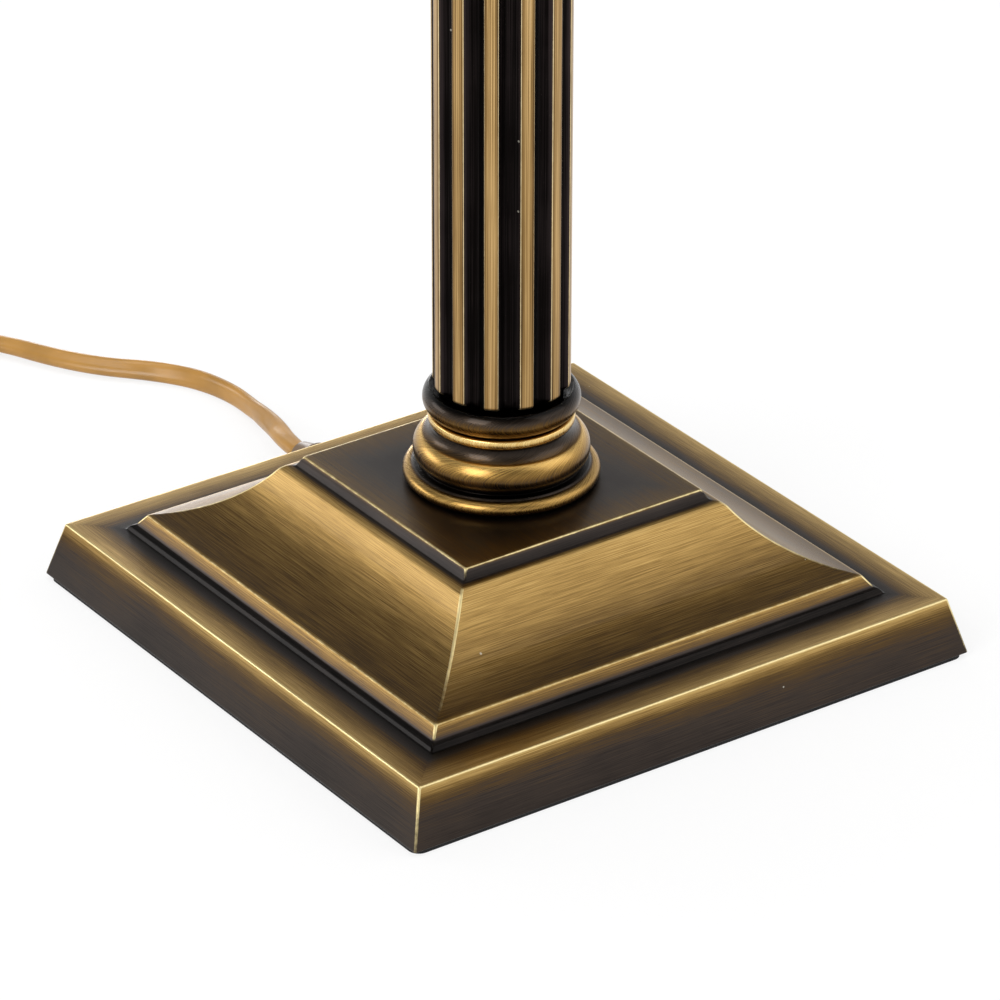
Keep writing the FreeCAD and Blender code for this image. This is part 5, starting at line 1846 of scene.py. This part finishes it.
@dataclass(frozen=True)
class Studio:
    """The camera, the soft light and the pale surroundings.

    Attributes:
        camera_at: The camera's place.
        heading: Its azimuth in degrees, where 0 looks along +Y.
        look_down: How far it looks down, in degrees.
        roll: How far it is rolled, in degrees.
        lens: Its focal length in millimetres.
        film: The film's width in millimetres.
        softboxes: The lamps.
        overhead: Between which heights of the sky its reflection darkens.
        overhead_white: How white the sky's reflection is overhead.
        fill: How strongly the sky lights the lamp.
        floor_half: Half the floor's width.
        floor_tones: The floor's darkest and palest tone.
        floor_white: How much of the floor is plain white where it is seen.
    """

    camera_at: Point = (-0.7549, -1.0715, 0.7337)
    heading: float = -35.15
    look_down: float = 28.1
    roll: float = 0.08
    lens: float = 210.86
    film: float = 36.0
    softboxes: tuple[Softbox, ...] = (
        Softbox("left_softbox", (-1.5, -0.5, 1.1), 0.15, (0.9, 1.2), 18.0),
        Softbox("right_softbox", (1.05, -0.95, 1.25), 0.15, (1.5, 1.5), 10.0),
        Softbox("back_softbox", (0.74, 1.62, 0.2), 0.03, (0.5, 0.3), 3.0),
        Softbox("rear_left_softbox", (-1.0, 1.15, 0.5), 0.03, (0.8, 0.45), 4.0),
        Softbox("top_softbox", (0.1, 0.3, 1.9), 0.1, (1.2, 1.2), 14.0),
    )
    overhead: Pair = (0.2, 0.66)
    overhead_white: float = 0.3
    fill: float = 0.6
    floor_half: float = 4.0
    floor_tones: Pair = (0.86, 0.9)
    floor_white: float = 0.8

    def camera(self) -> None:
        """Put the camera at the photograph's viewpoint."""
        turn, tilt, roll = (math.radians(a) for a in (self.heading, self.look_down, self.roll))
        level = math.cos(tilt)
        back = Vector((math.sin(turn) * level, -math.cos(turn) * level, math.sin(tilt)))
        right = Vector((math.cos(turn), math.sin(turn), 0.0))
        up = back.cross(right)
        across = right * math.cos(roll) + up * math.sin(roll)
        over = up * math.cos(roll) - right * math.sin(roll)
        data = bpy.data.cameras.new("camera")
        data.lens = self.lens
        data.sensor_width = self.film
        data.clip_start = 0.01
        camera = shown("camera", data)
        axes = Matrix((across, over, back)).transposed().to_4x4()
        camera.matrix_world = Matrix.Translation(self.camera_at) @ axes
        bpy.context.scene.camera = camera

    def sky(self, graph: Graph) -> Socket:
        """Make the sky: white where it is seen, and darker overhead in soft reflections.

        Args:
            graph: The world's graph.

        Returns:
            The sky's strength.
        """
        rays = graph.node("ShaderNodeLightPath").outputs
        height = graph.parts(graph.node("ShaderNodeTexCoord").outputs["Generated"])[2]
        reflected = graph.spread(height, *self.overhead, 1.0, self.overhead_white)
        seen = graph.math("MAXIMUM", rays["Is Camera Ray"], rays["Is Transmission Ray"])
        glossy = graph.times(rays["Is Glossy Ray"], reflected)
        lit = graph.minus(1.0, graph.math("MAXIMUM", seen, rays["Is Glossy Ray"]))
        return graph.plus(seen, graph.plus(glossy, graph.times(lit, self.fill)))

    def world(self) -> None:
        """Make the white world."""
        world = bpy.data.worlds.new("studio")
        world.use_nodes = True
        bpy.context.scene.world = world
        background = world.node_tree.nodes["Background"]
        background.inputs["Color"].default_value = (*WHITE, 1.0)
        graph = Graph(world.node_tree)
        graph.feed(background.inputs["Strength"], self.sky(graph))

    def floor(self) -> None:
        """Make the wide pale floor just under the lamp, which keeps its shadow."""
        half = self.floor_half
        mesh = bpy.data.meshes.new("floor")
        corners = [(-half, -half, 0), (half, -half, 0), (half, half, 0), (-half, half, 0)]
        mesh.from_pydata(corners, [], [(0, 1, 2, 3)])
        floor = shown("floor", mesh)
        floor.location.z = -0.02 * MM
        material = bpy.data.materials.new("pale_floor")
        material.use_nodes = True
        nodes = material.node_tree.nodes
        g = Graph(material.node_tree)
        plain = nodes["Principled BSDF"]
        cloud = g.noise(g.node("ShaderNodeTexCoord").outputs["Object"], 9.0)
        tones = ((tone, tone, tone) for tone in self.floor_tones)
        g.feed(plain.inputs["Base Color"], g.mixed(cloud, *tones))
        plain.inputs["Roughness"].default_value = 0.9
        plain.inputs["Specular IOR Level"].default_value = 0.0
        rays = g.node("ShaderNodeLightPath").outputs
        seen = g.math("MAXIMUM", rays["Is Camera Ray"], rays["Is Glossy Ray"])
        seen = g.math("MAXIMUM", seen, rays["Is Transmission Ray"])
        glow = g.node("ShaderNodeEmission", {"Color": WHITE, "Strength": 1.0})
        both = g.node("ShaderNodeMixShader", {
            0: g.times(seen, self.floor_white), 1: plain.outputs[0], 2: glow.outputs[0],
        })
        g.feed(nodes["Material Output"].inputs["Surface"], both.outputs[0])
        mesh.materials.append(material)

    def build(self) -> None:
        """Set the whole studio up."""
        self.camera()
        self.world()
        self.floor()
        for softbox in self.softboxes:
            softbox.hang()
        bpy.context.scene.view_settings.view_transform = "Standard"


# ----------------------------------------------------------------- the frame's own nodes

BLACK = Plastic("black_plastic", (0.02, 0.02, 0.022))
PLAIN_BRASS = AntiqueBrass("brass_plain", from_mesh=False)
FINISHES = {
    "felt": Plastic("felt", (0.01, 0.01, 0.01), 0.9),
    "antique_brass_cast": PLAIN_BRASS,
    "antique_brass_turned": PLAIN_BRASS,
    "fluted_brass": PLAIN_BRASS,
    "ballast_iron": Metal("ballast_iron", (0.16, 0.15, 0.15), 0.6),
    "steel": Metal("steel", (0.55, 0.55, 0.57)),
    "plain_brass": Metal("plain_brass", (0.62, 0.45, 0.17)),
    "nickel": Metal("nickel", (0.62, 0.6, 0.56), 0.22),
    "black_plastic": BLACK,
    "white_plastic": Plastic("white_plastic", (0.78, 0.77, 0.74), mottle=0.05),
    "ceramic": Plastic("ceramic", (0.8, 0.79, 0.75), 0.25, mottle=0.05),
    "opal_glass": Plastic("opal_glass", (0.85, 0.85, 0.83), 0.12, mottle=0.05),
    "shade_fabric": Plastic("shade_fabric", (0.72, 0.65, 0.52), 0.85),
    "shade_liner": Plastic("shade_liner", (0.85, 0.84, 0.8), 0.5, mottle=0.05),
    "white_wire": Plastic("white_wire", (0.8, 0.8, 0.78), 0.35, mottle=0.05),
    "gold_plastic": Plastic("gold_plastic", (0.13, 0.07, 0.022), 0.34, mottle=0.14),
    "gold_cord": Plastic("gold_cord_plain", (0.35, 0.2, 0.07), 0.3),
    "black_tie": BLACK,
}


@dataclass(frozen=True)
class CarriedNodes:
    """The frame's own nodes, which keep their shapes.

    Attributes:
        soft_edges: How far the moulded nodes' edges are eased.
    """

    soft_edges: tuple[tuple[str, float], ...] = (
        ("switch_cover", 0.9), ("switch_base", 0.6), ("plug_body", 1.0), ("coil_tie", 0.5),
    )

    SEGMENTS = 3
    BLUNTEST = math.radians(24.0)

    def build(self, effects: Effects) -> None:
        """Ease the moulded edges and give each node the finish of its slot.

        Args:
            effects: The shared effects.
        """
        for name, width in self.soft_edges:
            easing = frame["nodes"][name].modifiers.new("eased edges", "BEVEL")
            easing.width = width * MM
            easing.segments = self.SEGMENTS
            easing.limit_method = "ANGLE"
            easing.angle_limit = self.BLUNTEST
        materials = {slot: finish.material(effects) for slot, finish in FINISHES.items()}
        for entry in frame["record"]["subparts"]:
            node = frame["nodes"][entry["node"]]
            node.data.materials.clear()
            node.data.materials.append(materials[entry["material_slot"]])


def main() -> None:
    """Build the lamp's sub-assemblies in order and report each one."""
    logging.basicConfig(level=logging.INFO, format="%(name)s: %(message)s")
    effects = Effects()
    Studio().build()
    CarriedNodes().build(effects)
    base, plate = SquareBase(), SquarePlate()
    head = plate.foot + ABACUS_HIGH
    base.build(AntiqueBrass("brass_cast").material(effects))
    turned = AntiqueBrass("brass_turned", fineness=2300.0, reach=90.0, grain=0.22, rough=0.28,
                          lacquer=0.13, warmth=(1.04, 0.98, 0.84)).material(effects)
    for piece in (
            TurnedPiece("lower_collar", COLLAR, base.plate_z),
            TurnedPiece("lower_cup", CUP, base.plate_z + COLLAR_HIGH, slant=0.0),
            TurnedPiece("upper_collar", COLLAR, plate.foot, turned_over=True),
            TurnedPiece("upper_cup", CUP, plate.foot - COLLAR_HIGH, turned_over=True, slant=0.0),
            TurnedPiece("neck_finial", FINIAL, head),
            TurnedPiece("holder_cap", HOLDER_CAP, head + FINIAL_HIGH)):
        piece.build(turned)
    plate.build(AntiqueBrass("brass_plate").material(effects))
    ShadeCover().build(Cloth("woven_cream", (0.6, 0.52, 0.39)).material(effects))
    FlutedColumn().build(AntiqueBrass("brass_fluted", fineness=3000.0, reach=14.0, grain=0.5,
                                      lacquer=0.04, warmth=(1.0, 0.98, 1.15)).material(effects))
    MainsCord().build(Plastic("gold_cord", (0.42, 0.215, 0.045), 0.3).material(effects))


if __name__ == "__main__":
    main()
